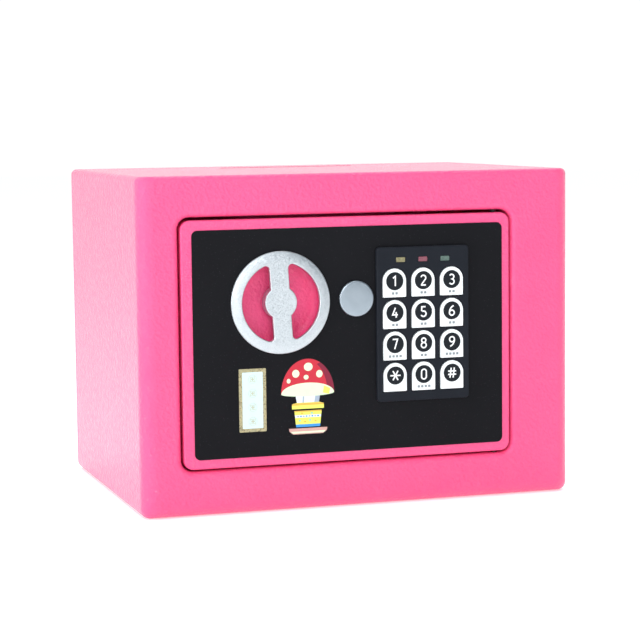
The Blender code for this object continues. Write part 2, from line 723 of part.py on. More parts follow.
def make_electrics(plastic, cell, board, red, door, hatch, reset):
    rim = COVER_BACK - COVER_WALL - 0.3
    shape = tray(HOLDER, 2.5, rim, HOLDER_FRONT, HOLDER_WALL, HOLDER_WALL, 0.5)
    add_part("battery_holder", shape, plastic, door)
    middle_x = (HOLDER[0] + HOLDER[1]) / 2
    middle_z = (HOLDER[2] + HOLDER[3]) / 2
    battery_y = HOLDER_FRONT + HOLDER_WALL + 0.3 + BATTERY_RADIUS
    for number in range(4):
        z = middle_z + (1.5 - number) * BATTERY_PITCH
        facing = 1 if number % 2 else -1
        profile = [
            (BATTERY_RADIUS, middle_x - facing * BATTERY_LENGTH / 2),
            (BATTERY_RADIUS, middle_x + facing * (BATTERY_LENGTH / 2 - 1.5)),
            (2.7, middle_x + facing * (BATTERY_LENGTH / 2 - 1.5)),
            (2.7, middle_x + facing * BATTERY_LENGTH / 2),
        ]
        add_part(f"battery_{number + 1}", turned("X", (battery_y, z), profile, 20), cell, door)

    outline = rounded_rectangle(grown(BATTERY_HATCH, -0.3), 1.7, 2)
    add_part("battery_cover", prism(outline, COVER_BACK - COVER_WALL, COVER_BACK), plastic, hatch)

    outline = rounded_rectangle(CONTROL_BOARD, 1.0, 2)
    add_part("control_board", prism(outline, BOARD_BACK - 1.6, BOARD_BACK), board, door)
    button = [
        (RESET_RADIUS, BOARD_BACK + 1.9),
        (RESET_RADIUS, COVER_BACK + 1.1),
        (RESET_RADIUS - 0.5, COVER_BACK + 1.5),
    ]
    add_part("reset_button", turned("Y", RESET, button, 20), red, reset)


# ---------------------------------------------------------------- assembly


def main():
    for leftover in list(bpy.data.objects):
        bpy.data.objects.remove(leftover, do_unlink=True)

    paint = make_material("pink_powder_coat", (0.78, 0.13, 0.25), 0.45)
    silver = make_material("silver_flake_paint", (0.55, 0.55, 0.57), 0.35, 0.8)
    steel = make_material("zinc_steel", (0.62, 0.62, 0.60), 0.35, 1.0)
    brass = make_material("brass", (0.70, 0.52, 0.25), 0.3, 1.0)
    film = make_material("black_overlay", (0.012, 0.012, 0.015), 0.55)
    gold = make_material("name_sticker_print", (0.55, 0.42, 0.16), 0.4)
    print_film = make_material("picture_sticker_print", (0.75, 0.60, 0.20), 0.4)
    plastic = make_material("slate_plastic", (0.03, 0.034, 0.045), 0.5)
    inner_plastic = make_material("black_plastic", (0.02, 0.02, 0.02), 0.5)
    white = make_material("white_key", (0.80, 0.80, 0.78), 0.4)
    rubber = make_material("grey_rubber", (0.25, 0.25, 0.26), 0.8)
    board = make_material("green_board", (0.02, 0.20, 0.08), 0.5)
    dark = make_material("solenoid_wrap", (0.05, 0.05, 0.06), 0.5)
    cell = make_material("battery_wrap", (0.02, 0.05, 0.15), 0.35)
    red = make_material("red_button", (0.60, 0.02, 0.02), 0.4)
    lenses = {
        "led_yellow": make_material("yellow_lens", (0.40, 0.33, 0.08), 0.25),
        "led_red": make_material("red_lens", (0.35, 0.06, 0.05), 0.25),
        "led_green": make_material("green_lens", (0.06, 0.25, 0.12), 0.25),
    }

    door = add_pivot("door_pivot", (*HINGE, DOORWAY[2]))
    wheel = add_pivot("handwheel_pivot", (KNOB[0], WHEEL_FRONT, KNOB[1]), door)
    carriage = add_pivot("carriage_pivot", (CARRIAGE_LEFT, BOLT_Y, CARRIAGE_BOTTOM), door)
    plunger = add_pivot("plunger_pivot", (*PLUNGER, SOLENOID_HIGH[2]), door)
    cap = add_pivot("cap_pivot", (LOCK[0], OVERLAY_FRONT, LOCK[1]), door)
    plug = add_pivot("plug_pivot", (LOCK[0], PLUG_BACK, LOCK[1]), door)
    hatch = add_pivot("hatch_pivot", (BATTERY_HATCH[0], COVER_BACK, BATTERY_HATCH[2]), door)
    reset = add_pivot("reset_pivot", (RESET[0], COVER_BACK, RESET[1]), door)

    make_cabinet(paint)
    make_door(paint, steel, door)
    make_overlay(film, gold, print_film, door)
    make_handwheel(silver, steel, wheel)
    make_bolt_work(steel, door, carriage)
    make_solenoid(steel, dark, door, plunger)
    make_lock(silver, brass, steel, door, cap, plug)
    make_keypad(plastic, white, rubber, board, lenses, door)
    make_cover(inner_plastic, steel, door)
    make_electrics(inner_plastic, cell, board, red, door, hatch, reset)


main()
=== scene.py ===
"""The looks of the toy safe coin bank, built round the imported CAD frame.

Shapes are written in millimetres in the frame's axes (+X right, +Y into the safe, +Z up) and
turned into metres by finish_mesh(). Each piece takes its place from the boxes of CAD nodes.
"""

import math

import bmesh
import bpy
from mathutils import Matrix, Vector


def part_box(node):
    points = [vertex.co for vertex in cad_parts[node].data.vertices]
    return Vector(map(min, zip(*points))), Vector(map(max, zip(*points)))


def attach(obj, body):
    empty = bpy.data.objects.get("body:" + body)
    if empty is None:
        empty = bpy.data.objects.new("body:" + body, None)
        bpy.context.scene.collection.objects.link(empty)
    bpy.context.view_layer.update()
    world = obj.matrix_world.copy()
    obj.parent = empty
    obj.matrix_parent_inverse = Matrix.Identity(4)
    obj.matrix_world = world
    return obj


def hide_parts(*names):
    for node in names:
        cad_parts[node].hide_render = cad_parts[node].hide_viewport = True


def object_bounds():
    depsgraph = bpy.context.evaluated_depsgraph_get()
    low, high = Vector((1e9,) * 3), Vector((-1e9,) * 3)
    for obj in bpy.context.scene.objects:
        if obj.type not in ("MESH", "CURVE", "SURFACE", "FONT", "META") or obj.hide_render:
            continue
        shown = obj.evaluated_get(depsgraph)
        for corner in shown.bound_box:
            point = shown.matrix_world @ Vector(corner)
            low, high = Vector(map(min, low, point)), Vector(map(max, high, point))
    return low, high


MM = 0.001
SHARP_ANGLE = math.radians(32.0)

# Sheet-metal details that a node's box doesn't tell
SHEET = 1.2
SIDE_BEND = 8.0
EDGE_BEND = 2.0
LONG_BEND = 3.0
BASE_BEND = 7.0
BASE_SIDE_BEND = 4.5
BACK_BEND = 3.0
BACK_FLANGE = 12.0
BACK_FLANGE_CORNER = 6.0
COIN_SLOT_SIZE = (78.0, 8.0)
COIN_SLOT_FROM_BACK = 40.0
DOOR_GAP = 1.0
DOOR_TOP_GAP = 1.5
DOORWAY_CORNER = 6.0
LIP = 3.0
LIP_FLANGE = 10.0
HINGE_HOLE_RADIUS = 1.8
HINGE_HOLE_DEPTH = 3.5

# Door plate and its dish
DOOR_PLATE = 3.0
DOOR_RIM = 2.0
DOOR_EDGE = 1.0
DOOR_DEPTH = 10.0
DISH_RADIUS = 22.0
DISH_DEPTH = 8.0
DISH_FILLET = 3.0
SPINDLE_HOLE = 4.0
BARREL_HOLE = 6.3
OVERLAY_CORNER = 3.0

# Handwheel
WHEEL_HOLE_RADIUS = 20.2
WHEEL_HOLE_FILLET = 2.0
WHEEL_BAR = 9.8
WHEEL_HUB_RADIUS = 8.3
WHEEL_HUB_DEPTH = 6.4
WHEEL_NECK_RADIUS = 5.5
WHEEL_TILT = math.radians(-3.3)
WHEEL_EDGE = 0.55

# Keypad
KEYPAD_CORNER = 2.0
KEYPAD_WINDOW_INSET = (2.0, 2.8)  # at the sides, and at the top and bottom
KEYPAD_RIM_INSET = (2.3, 3.1)
KEY_GAP = 0.4
KEY_FOOT_CORNER = 0.5
PRINT_DROP = 6.4  # from the top of a key down to the middle of its black disc
DISC_RADIUS = 4.65
STROKE = 0.36  # half the width of a digit's line
DASH_DROP = 12.6
DASH_PITCH = 1.9
DASH_SIZE = (1.3, 1.25)
DASHES = {"1": 2, "2": 2, "3": 2, "4": 2, "5": 2, "6": 2, "7": 4, "8": 2, "9": 4, "0": 4}

INK_DRIFT = 0.06  # how far a printed colour strays, as a share

# Inside of the door
BOLT_HOLE = 6.4
COVER_WALL = 1.5
COVER_CORNER = 4.0
HATCH_CORNER = 1.7
RESET_HOLE = 4.3
SCREW_HOLE = 2.1

# Stage
FLOOR_GLOW = 0.45
FLOOR_DROP = 0.0002  # metres under the safe, so that the two faces don't meet

# Camera: angles in radians, its place from the middle of the cabinet's foot
FOCAL_LENGTH_MM = 116.46
CAMERA_YAW = 0.309124
CAMERA_PITCH = 0.099528
CAMERA_ROLL = -0.011487
CAMERA_FROM_BASE_MM = (-337.725, -1072.004, 199.770)


# ---------------------------------------------------------------- shapes


def box_mm(node):
    """Lowest and highest corner of a CAD node, in millimetres."""
    low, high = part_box(node)
    return Vector(low) / MM, Vector(high) / MM


def face_rect(node):
    """A node's (left, right, bottom, top) seen from the front."""
    low, high = box_mm(node)
    return (low.x, high.x, low.z, high.z)


def middle(node):
    """A node's centre seen from the front, as (x, z)."""
    low, high = box_mm(node)
    return ((low.x + high.x) / 2, (low.z + high.z) / 2)


def side_middle(node):
    """A node's centre seen from the side, as (y, z)."""
    low, high = box_mm(node)
    return ((low.y + high.y) / 2, (low.z + high.z) / 2)


def grown(rect, by):
    left, right, bottom, top = rect
    return (left - by, right + by, bottom - by, top + by)


def drawn_in(rect, insets):
    """A rectangle drawn in by one distance at its sides and another at its top and bottom."""
    left, right, bottom, top = rect
    across, up = insets
    return (left + across, right - across, bottom + up, top - up)


def arc(centre, radius, start, end, steps):
    """Points of an arc, both ends included, from start to end in degrees."""
    turns = [math.radians(start + (end - start) * i / steps) for i in range(steps + 1)]
    return [(centre[0] + radius * math.cos(a), centre[1] + radius * math.sin(a)) for a in turns]


def rounded_rectangle(rect, corner, steps=10, lower=None):
    """A rectangle's outline with round corners, as (x, z) points from the lower right corner.

    lower is the radius of the two lower corners where it isn't the same.
    """
    left, right, bottom, top = rect
    lower = corner if lower is None else lower
    corners = (
        (right - lower, bottom + lower, lower),
        (right - corner, top - corner, corner),
        (left + corner, top - corner, corner),
        (left + lower, bottom + lower, lower),
    )
    points = []
    for turn, (x, z, radius) in enumerate(corners):
        points += arc((x, z), radius, 90 * turn - 90, 90 * turn, steps)
    return points


def drawn_outline(rect, corner, steps=10):
    """A function that gives a rounded rectangle's outline, drawn in by a distance."""
    return lambda inset: rounded_rectangle(grown(rect, -inset), corner - inset, steps)


def at_y(outline, y):
    return [(x, y, z) for x, z in outline]


def circle(axis, centre, radius, along, segments):
    """A round loop about an axis; centre holds the other two coordinates in X, Y, Z order."""
    place = "XYZ".index(axis)
    loop = []
    for a, b in arc(centre, radius, 0, 360, segments)[:-1]:
        point = [a, b]
        point.insert(place, along)
        loop.append(tuple(point))
    return loop


def skin(loops, closed=False):
    """A mesh through loops of equally many points: capped at its ends, or closed on itself."""
    bm = bmesh.new()
    rings = [[bm.verts.new(point) for point in loop] for loop in loops]
    pairs = list(zip(rings, rings[1:]))
    if closed:
        pairs.append((rings[-1], rings[0]))
    else:
        bm.faces.new(rings[0])
        bm.faces.new(rings[-1])
    for near, far in pairs:
        for i, corner in enumerate(near):
            j = (i + 1) % len(near)
            bm.faces.new((corner, near[j], far[j], far[i]))
    bmesh.ops.recalc_face_normals(bm, faces=bm.faces)
    return bm


def prism(outline, y0, y1):
    return skin([at_y(outline, y0), at_y(outline, y1)])


def turned(axis, centre, profile, segments=96, closed=False):
    """A turned solid from (radius, along) pairs; closed makes a ring with a bore."""
    return skin([circle(axis, centre, r, along, segments) for r, along in profile], closed)


def round_y(centre, radius, y0, y1, segments=96):
    return turned("Y", centre, [(radius, y0), (radius, y1)], segments)


def block(low, high):
    bottom = [(low[0], low[1]), (high[0], low[1]), (high[0], high[1]), (low[0], high[1])]
    return skin([[(x, y, z) for x, y in bottom] for z in (low[2], high[2])])


def quarter(radius, steps=6):
    """(inset, drop) pairs round a convex edge, from its flat face to its side."""
    turns = [math.radians(90 * i / steps) for i in range(steps + 1)]
    return [(radius * (1 - math.sin(a)), radius * (1 - math.cos(a))) for a in turns]


def tray(rect, corner, y_open, y_closed, wall, floor, edge):
    """A tray whose walls end at y_open; the outer edge round its floor at y_closed is rounded."""
    inward = 1 if y_open > y_closed else -1
    loops = []
    for inset, drop in quarter(edge):
        outline = rounded_rectangle(grown(rect, -inset), corner - inset)
        loops.append(at_y(outline, y_closed + inward * drop))
    inner = rounded_rectangle(grown(rect, -wall), corner - wall)
    loops.append(at_y(rounded_rectangle(rect, corner), y_open))
    loops.append(at_y(inner, y_open))
    loops.append(at_y(inner, y_closed + inward * floor))
    return skin(loops)


def slab(outline_at, y_face, y_back, edge):
    """A plate with a rounded front edge; outline_at(inset) gives its outline."""
    away = 1 if y_back > y_face else -1
    loops = [at_y(outline_at(inset), y_face + away * drop) for inset, drop in quarter(edge, 4)]
    return skin(loops + [at_y(outline_at(0.0), y_back)])


# ---------------------------------------------------------------- pieces


def finish_mesh(bm, name):
    """Turns a shape in millimetres into a mesh in metres."""
    bmesh.ops.scale(bm, verts=bm.verts, vec=(MM, MM, MM))
    mesh = bpy.data.meshes.new(name)
    bm.to_mesh(mesh)
    bm.free()
    return mesh


def smooth(mesh):
    mesh.shade_smooth()
    mesh.set_sharp_from_angle(angle=SHARP_ANGLE)


def add_object(thing):
    bpy.context.scene.collection.objects.link(thing)


def cut(shape):
    return ("DIFFERENCE", shape)


def carved(mesh, steps):
    """The mesh after (operation, shape) steps, each an exact Boolean with a shape in millimetres."""
    carrier = bpy.data.objects.new("carved", mesh)
    add_object(carrier)
    helpers = []
    for operation, shape in steps:
        helper = bpy.data.objects.new("helper", finish_mesh(shape, "helper"))
        add_object(helper)
        boolean = carrier.modifiers.new("boolean", "BOOLEAN")
        boolean.object = helper
        boolean.operation = operation
        boolean.solver = "EXACT"
        helpers.append(helper)
    bpy.context.view_layer.update()
    evaluated = carrier.evaluated_get(bpy.context.evaluated_depsgraph_get())
    result = bpy.data.meshes.new_from_object(evaluated)
    for leftover in [carrier, *helpers]:
        bpy.data.objects.remove(leftover, do_unlink=True)
    return result


def add_piece(name, bm, materials, body, nodes, steps=()):
    """Makes one shown piece: its mesh, its materials, the body it rides on and what it replaces."""
    mesh = finish_mesh(bm, name)
    if steps:
        mesh = carved(mesh, steps)
        mesh.name = name
    smooth(mesh)
    for material in materials if isinstance(materials, (list, tuple)) else [materials]:
        mesh.materials.append(material)
    piece = bpy.data.objects.new(name, mesh)
    add_object(piece)
    even = piece.modifiers.new("even_normals", "WEIGHTED_NORMAL")
    even.keep_sharp = True
    even.weight = 100
    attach(piece, body)
    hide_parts(*nodes)
    return piece


def merged(parts):
    """One mesh from (shape, material index) pairs."""
    bm = bmesh.new()
    for shape, index in parts:
        for face in shape.faces:
            face.material_index = index
        mesh = bpy.data.meshes.new("part")
        shape.to_mesh(mesh)
        shape.free()
        bm.from_mesh(mesh)
        bpy.data.meshes.remove(mesh)
    return bm


def tube(points, radius, y, flat, closed=False, sides=8):
    """A line of round strokes through (x, z) points, pressed flat against the plane y."""
    loops = []
    count = len(points)
    for i, point in enumerate(points):
        here = Vector(point)
        before = Vector(points[i - 1]) if closed or i else here
        after = Vector(points[(i + 1) % count]) if closed or i < count - 1 else here
        arriving = (here - before).normalized() if here != before else (after - here).normalized()
        leaving = (after - here).normalized() if here != after else arriving
        along = (arriving + leaving).normalized()
        across = Vector((-along.y, along.x))
        widen = 1.0 / max(0.5, along.dot(leaving))
        ring = []
        for side in range(sides):
            turn = 2 * math.pi * side / sides
            spread = across * radius * widen * math.cos(turn)
            ring.append((here.x + spread.x, y + flat * math.sin(turn), here.y + spread.y))
        loops.append(ring)
    return skin(loops, closed)


# ---------------------------------------------------------------- materials


class Graph:
    """A material's node tree, with a short call for each kind of node used here."""

    def __init__(self, name, colour, roughness, metallic=0.0, **sockets):
        self.material = bpy.data.materials.new(name)
        self.material.use_nodes = True
        self.tree = self.material.node_tree
        self.shader = self.tree.nodes["Principled BSDF"]
        values = {"Base Color": (*colour, 1.0), "Roughness": roughness, "Metallic": metallic}
        values.update(sockets)
        for socket, value in values.items():
            self.shader.inputs[socket].default_value = value
        self.place = self.node("TexCoord").outputs["Object"]

    def node(self, kind):
        return self.tree.nodes.new(f"ShaderNode{kind}")

    def link(self, output, node, socket):
        self.tree.links.new(output, node.inputs[socket])

    def stretched(self, scale):
        mapping = self.node("Mapping")
        mapping.inputs["Scale"].default_value = scale
        self.link(self.place, mapping, "Vector")
        return mapping.outputs["Vector"]

    def noise(self, scale, detail=2.0, roughness=0.5, vector=None):
        node = self.node("TexNoise")
        node.inputs["Scale"].default_value = scale
        node.inputs["Detail"].default_value = detail
        node.inputs["Roughness"].default_value = roughness
        self.link(vector or self.place, node, "Vector")
        return node.outputs["Fac"]

    def cells(self, scale, output="Distance"):
        node = self.node("TexVoronoi")
        node.inputs["Scale"].default_value = scale
        self.link(self.place, node, "Vector")
        return node.outputs[output]

    def spread(self, factor, low, high, start=0.3, end=0.7):
        """A number that runs from low to high as the factor runs from start to end."""
        node = self.node("MapRange")
        for socket, value in (
            ("From Min", start), ("From Max", end), ("To Min", low), ("To Max", high),
        ):
            node.inputs[socket].default_value = value
        self.link(factor, node, "Value")
        return node.outputs["Result"]

    def mix(self, factor, first, second):
        node = self.node("Mix")
        node.data_type = "RGBA"
        for place, value in ((6, first), (7, second)):
            if isinstance(value, tuple):
                node.inputs[place].default_value = (*value, 1.0)
            else:
                self.tree.links.new(value, node.inputs[place])
        self.link(factor, node, 0)
        return node.outputs[2]

    def set(self, socket, output):
        self.link(output, self.shader, socket)

    def paint(self, factor, first, second):
        self.set("Base Color", self.mix(factor, first, second))

    def bump(self, height, distance, strength, socket="Normal"):
        """Raises the surface, or its coat, where the height is high."""
        node = self.node("Bump")
        node.inputs["Distance"].default_value = distance
        node.inputs["Strength"].default_value = strength
        self.link(height, node, "Height")
        self.set(socket, node.outputs["Normal"])

    def vector_math(self, operation, first):
        node = self.node("VectorMath")
        node.operation = operation
        self.link(first, node, 0)
        return node

    def flakes(self, scale, tilt):
        """Normals that differ from one tiny cell to the next, as in flake paint."""
        centre = self.vector_math("SUBTRACT", self.cells(scale, "Color"))
        centre.inputs[1].default_value = (0.5, 0.5, 0.5)
        lean = self.vector_math("SCALE", centre.outputs[0])
        lean.inputs["Scale"].default_value = tilt
        added = self.vector_math("ADD", lean.outputs[0])
        self.link(self.node("NewGeometry").outputs["Normal"], added, 1)
        return self.vector_math("NORMALIZE", added.outputs[0]).outputs[0]


def powder_coat():
    """Pink powder coat: orange peel and a faint drift of colour under a glossy clear skin."""
    sockets = {"Specular IOR Level": 0.18, "Coat Weight": 0.65, "Coat Roughness": 0.05}
    g = Graph("pink_powder_coat", (0.89, 0.085, 0.25), 0.36, **sockets)
    g.paint(g.noise(45.0, 3.0), (0.86, 0.075, 0.232), (0.91, 0.090, 0.255))
    g.set("Roughness", g.spread(g.noise(320.0), 0.32, 0.44))
    g.bump(g.noise(520.0, 1.0), 0.0006, 0.8)
    g.bump(g.noise(1000.0, 1.0), 0.0011, 1.0, "Coat Normal")
    return g.material


def black_film():
    """Matt black film with fine pale specks."""
    g = Graph("black_overlay", (0.006, 0.006, 0.008), 0.5, **{"Specular IOR Level": 0.09})
    specks = g.spread(g.cells(620.0), 1.0, 0.0, 0.05, 0.16)
    shade = g.mix(g.noise(30.0, 4.0), (0.0050, 0.0051, 0.0068), (0.0078, 0.0081, 0.0103))
    g.paint(specks, shade, (0.024, 0.025, 0.029))
    g.set("Roughness", g.spread(g.noise(700.0), 0.42, 0.58))
    g.bump(g.noise(2600.0, 2.0), 0.00004, 0.5)
    return g.material


def flake_silver(name, dark, light, roughness, tilt):
    """Silver paint whose flakes catch the light one by one."""
    g = Graph(name, light, roughness, 1.0)
    g.paint(g.noise(2400.0, 2.0, 0.7), dark, light)
    g.set("Roughness", g.spread(g.noise(900.0), roughness - 0.06, roughness + 0.08))
    g.set("Normal", g.flakes(2300.0, tilt))
    return g.material


def satin_silver():
    """The smoother silver of the lock's cap, with faint turning marks."""
    g = Graph("cap_silver", (0.37, 0.43, 0.48), 0.34, 1.0)
    g.paint(g.noise(160.0, 4.0), (0.32, 0.38, 0.43), (0.41, 0.47, 0.52))
    g.set("Roughness", g.spread(g.noise(500.0), 0.28, 0.42))
    g.bump(g.noise(1300.0, 3.0), 0.00002, 0.5)
    return g.material


def moulded(name, dark, light, roughness, grain=1600.0, depth=0.00004, specular=0.35):
    """Moulded plastic with a fine grain; its colour drifts a little."""
    g = Graph(name, dark, roughness, **{"Specular IOR Level": specular})
    g.paint(g.noise(120.0, 4.0), dark, light)
    g.set("Roughness", g.spread(g.noise(400.0), roughness - 0.05, roughness + 0.07))
    g.bump(g.noise(grain, 2.0), depth, 0.5)
    return g.material


def metal(name, dark, light, roughness):
    """Plated or drawn metal with long fine streaks and dull patches."""
    g = Graph(name, light, roughness, 1.0)
    streaks = g.noise(1.0, 4.0, 0.6, g.stretched((40.0, 900.0, 900.0)))
    g.paint(g.noise(90.0, 5.0, 0.6), dark, light)
    g.set("Roughness", g.spread(streaks, roughness - 0.10, roughness + 0.12))
    g.bump(streaks, 0.00002, 0.4)
    return g.material


def circuit_board():
    """Solder resist over faint copper runs."""
    g = Graph("circuit_board", (0.015, 0.12, 0.05), 0.35)
    runs = g.spread(g.noise(1.0, 0.0, 0.5, g.stretched((900.0, 900.0, 60.0))), 0.0, 1.0, 0.52, 0.56)
    g.paint(runs, (0.012, 0.10, 0.04), (0.03, 0.20, 0.08))
    g.bump(runs, 0.00003, 0.6)
    return g.material


def gold_print():
    """The sticker's border: a mottled gold and olive pattern."""
    g = Graph("gold_print", (0.36, 0.28, 0.11), 0.38)
    blotch = g.spread(g.cells(1250.0), 0.0, 1.0, 0.15, 0.55)
    shade = g.mix(blotch, (0.060, 0.052, 0.026), (0.46, 0.40, 0.22))
    patch = g.spread(g.noise(520.0, 2.0), 0.0, 0.7, 0.42, 0.62)
    g.paint(patch, shade, (0.36, 0.34, 0.20))
    g.bump(blotch, 0.00002, 0.5)
    return g.material


def print_ink(name, colour, specular=0.35):
    """Printed vinyl: a flat ink with a slight drift and the film's fine waviness."""
    g = Graph(name, colour, 0.38, **{"Specular IOR Level": specular})
    darker = tuple(c * (1 - INK_DRIFT) for c in colour)
    lighter = tuple(min(1.0, c * (1 + INK_DRIFT)) for c in colour)
    g.paint(g.noise(350.0, 3.0), darker, lighter)
    g.bump(g.noise(600.0), 0.00002, 0.4)
    return g.material


def lens(name, dark, light):
    """A tinted window over a light, with moulded prisms inside it."""
    g = Graph(name, dark, 0.26, **{"Coat Weight": 0.15})
    g.paint(g.noise(900.0, 2.0), dark, light)
    g.bump(g.cells(900.0), 0.00006, 0.5)
    return g.material


def battery_wrap():
    """Dark shrink wrap whose colour drifts a little."""
    g = Graph("battery_wrap", (0.02, 0.04, 0.10), 0.30, **{"Coat Weight": 0.4})
    g.paint(g.noise(140.0, 3.0), (0.018, 0.035, 0.10), (0.030, 0.055, 0.14))
    g.bump(g.noise(500.0), 0.00003, 0.4)
    return g.material


def make_materials():
    """Every material by a short name."""
    inks = {
        "red": (0.56, 0.022, 0.045),
        "deep_red": (0.22, 0.008, 0.035),
        "cream": (0.70, 0.86, 0.60),
        "yellow": (0.80, 0.86, 0.14),
        "amber": (0.72, 0.47, 0.08),
        "pale": (0.74, 0.82, 0.90),
        "shade": (0.36, 0.44, 0.54),
        "blue": (0.045, 0.30, 0.72),
        "aqua": (0.22, 0.62, 0.58),
        "tan": (0.62, 0.36, 0.32),
        "field": (0.62, 0.83, 0.88),
        "faint_gold": (0.50, 0.54, 0.38),
        "key_digit": (0.90, 0.92, 0.93),
        "key_dash": (0.24, 0.28, 0.30),
    }
    shown = {name: print_ink(f"ink_{name}", colour) for name, colour in inks.items()}
    shown.update(
        outline=print_ink("ink_outline", (0.009, 0.008, 0.010), specular=0.12),
        paint=powder_coat(),
        film=black_film(),
        key_black=print_ink("ink_key_black", (0.012, 0.015, 0.019), specular=0.12),
        silver=flake_silver("silver_paint", (0.40, 0.45, 0.48), (0.72, 0.77, 0.80), 0.42, 0.22),
        cap=satin_silver(),
        slate=moulded("slate_plastic", (0.0095, 0.0115, 0.0165), (0.0135, 0.0165, 0.0230), 0.42,
                      specular=0.11),
        white=moulded("white_key", (0.84, 0.90, 0.91), (0.90, 0.95, 0.96), 0.36, specular=0.5),
        black=moulded("black_plastic", (0.012, 0.012, 0.013), (0.018, 0.018, 0.019), 0.46,
                      grain=900.0, depth=0.0001),
        red_plastic=moulded("red_plastic", (0.50, 0.012, 0.015), (0.60, 0.020, 0.020), 0.3),
        rubber=moulded("grey_rubber", (0.20, 0.20, 0.21), (0.26, 0.26, 0.27), 0.75),
        wrap=moulded("solenoid_wrap", (0.030, 0.030, 0.034), (0.060, 0.058, 0.055), 0.5),
        steel=metal("zinc_steel", (0.44, 0.44, 0.42), (0.64, 0.64, 0.62), 0.32),
        # Hinge pin steel painted near-black: painted shade standing in for the dark door gap the
        # pins show through; the real pins are plain steel.
        black_steel=metal("blackened_steel", (0.018, 0.018, 0.018), (0.035, 0.034, 0.033), 0.45),
        brass=metal("brass", (0.52, 0.36, 0.14), (0.72, 0.53, 0.25), 0.28),
        board=circuit_board(),
        gold=gold_print(),
        cell=battery_wrap(),
        led_yellow=lens("yellow_lens", (0.13, 0.115, 0.055), (0.32, 0.29, 0.15)),
        led_red=lens("red_lens", (0.12, 0.035, 0.050), (0.29, 0.085, 0.12)),
        led_green=lens("green_lens", (0.045, 0.080, 0.070), (0.11, 0.18, 0.15)),
    )
    return shown


# ---------------------------------------------------------------- cabinet


def bend_inset(radius, behind):
    """How far a bend has drawn in at a distance behind its front face."""
    short = max(0.0, radius - behind)
    return radius - math.sqrt(radius**2 - short**2)


def cabinet_skin(outside, doorway, front, back, offset):
    """Loops over one side of the sheet, from the back flange's edge to the doorway flange's end."""
    corner = LONG_BEND - offset
    lower = BASE_SIDE_BEND - offset
    edge = rounded_rectangle(grown(outside, -BACK_FLANGE), BACK_FLANGE_CORNER)
    loops = [at_y(edge, back - offset)]

    for inset, drop in quarter(BACK_BEND - offset, 8):
        outline = rounded_rectangle(grown(outside, -offset - inset), corner, lower=lower)
        loops.append(at_y(outline, back - offset - drop))

    side = SIDE_BEND - offset
    steps = 24
    for step in range(steps + 1):
        turn = math.radians(90 * step / steps)
        inset_x = offset + side * (1 - math.cos(turn))
        y = front + SIDE_BEND - side * math.sin(turn)
        bottom = outside[2] + offset + bend_inset(BASE_BEND - offset, y - front - offset)
        top = outside[3] - offset - bend_inset(EDGE_BEND - offset, y - front - offset)
        rect = (outside[0] + inset_x, outside[1] - inset_x, bottom, top)
        loops.append(at_y(rounded_rectangle(rect, corner, lower=lower), y))

    roll = LIP - offset
    for step in range(9):
        turn = math.radians(90 * step / 8)
        out = LIP - roll * math.sin(turn)
        outline = rounded_rectangle(grown(doorway, out), DOORWAY_CORNER + out)
        loops.append(at_y(outline, front + LIP - roll * math.cos(turn)))
    outline = rounded_rectangle(grown(doorway, offset), DOORWAY_CORNER + offset)
    loops.append(at_y(outline, front + LIP_FLANGE))
    return loops


def make_cabinet(shown):
    low, high = box_mm("cabinet_body")
    outside = (low.x, high.x, low.z, high.z)
    left, right, bottom, top = grown(face_rect("door_plate"), DOOR_GAP)
    doorway = (left, right, bottom, top - DOOR_GAP + DOOR_TOP_GAP)
    sides = [cabinet_skin(outside, doorway, low.y, high.y, offset) for offset in (0.0, SHEET)]
    shell = skin(sides[0] + sides[1][::-1], closed=True)

    length, width = COIN_SLOT_SIZE
    slot = rounded_rectangle((-length / 2, length / 2, -width / 2, width / 2), width / 2 - 0.5)
    slot_y = high.y - COIN_SLOT_FROM_BACK
    levels = (high.z - 5, high.z + 5)
    steps = [cut(skin([[(x, slot_y + y, z) for x, y in slot] for z in levels]))]
    pin_low, pin_high = box_mm("hinge_pin_top")
    hinge = ((pin_low.x + pin_high.x) / 2, (pin_low.y + pin_high.y) / 2)
    for z in (doorway[2], doorway[3]):
        ends = [(HINGE_HOLE_RADIUS, z + reach) for reach in (-HINGE_HOLE_DEPTH, HINGE_HOLE_DEPTH)]
        steps.append(cut(turned("Z", hinge, ends, 32)))
    add_piece("cabinet_shell", shell, shown["paint"], "cabinet",
              ["cabinet_body"], steps)


# ---------------------------------------------------------------- door and overlay


def dish_hollow(front, centre):
    """The inside of the dish behind the handwheel: a soft rim, a straight wall, a filleted floor."""
    profile = [(DISH_RADIUS + 1.0, front - 1.0), (DISH_RADIUS + 1.0, front)]
    profile += [(DISH_RADIUS + 0.3, front + 0.3), (DISH_RADIUS, front + 1.0)]
    for step in range(9):
        turn = math.radians(90 * step / 8)
        radius = DISH_RADIUS - DISH_FILLET * (1 - math.cos(turn))
        profile.append((radius, front + DISH_DEPTH - DISH_FILLET * (1 - math.sin(turn))))
    return turned("Y", centre, profile, 128)


def keypad_window(front):
    """The opening of door plate and overlay that the keypad's rear rim drops into."""
    window = drawn_in(face_rect("keypad_housing"), KEYPAD_WINDOW_INSET)
    return prism(rounded_rectangle(window, 1.0, 4), front - 2.0, front + DOOR_PLATE + 1.0)


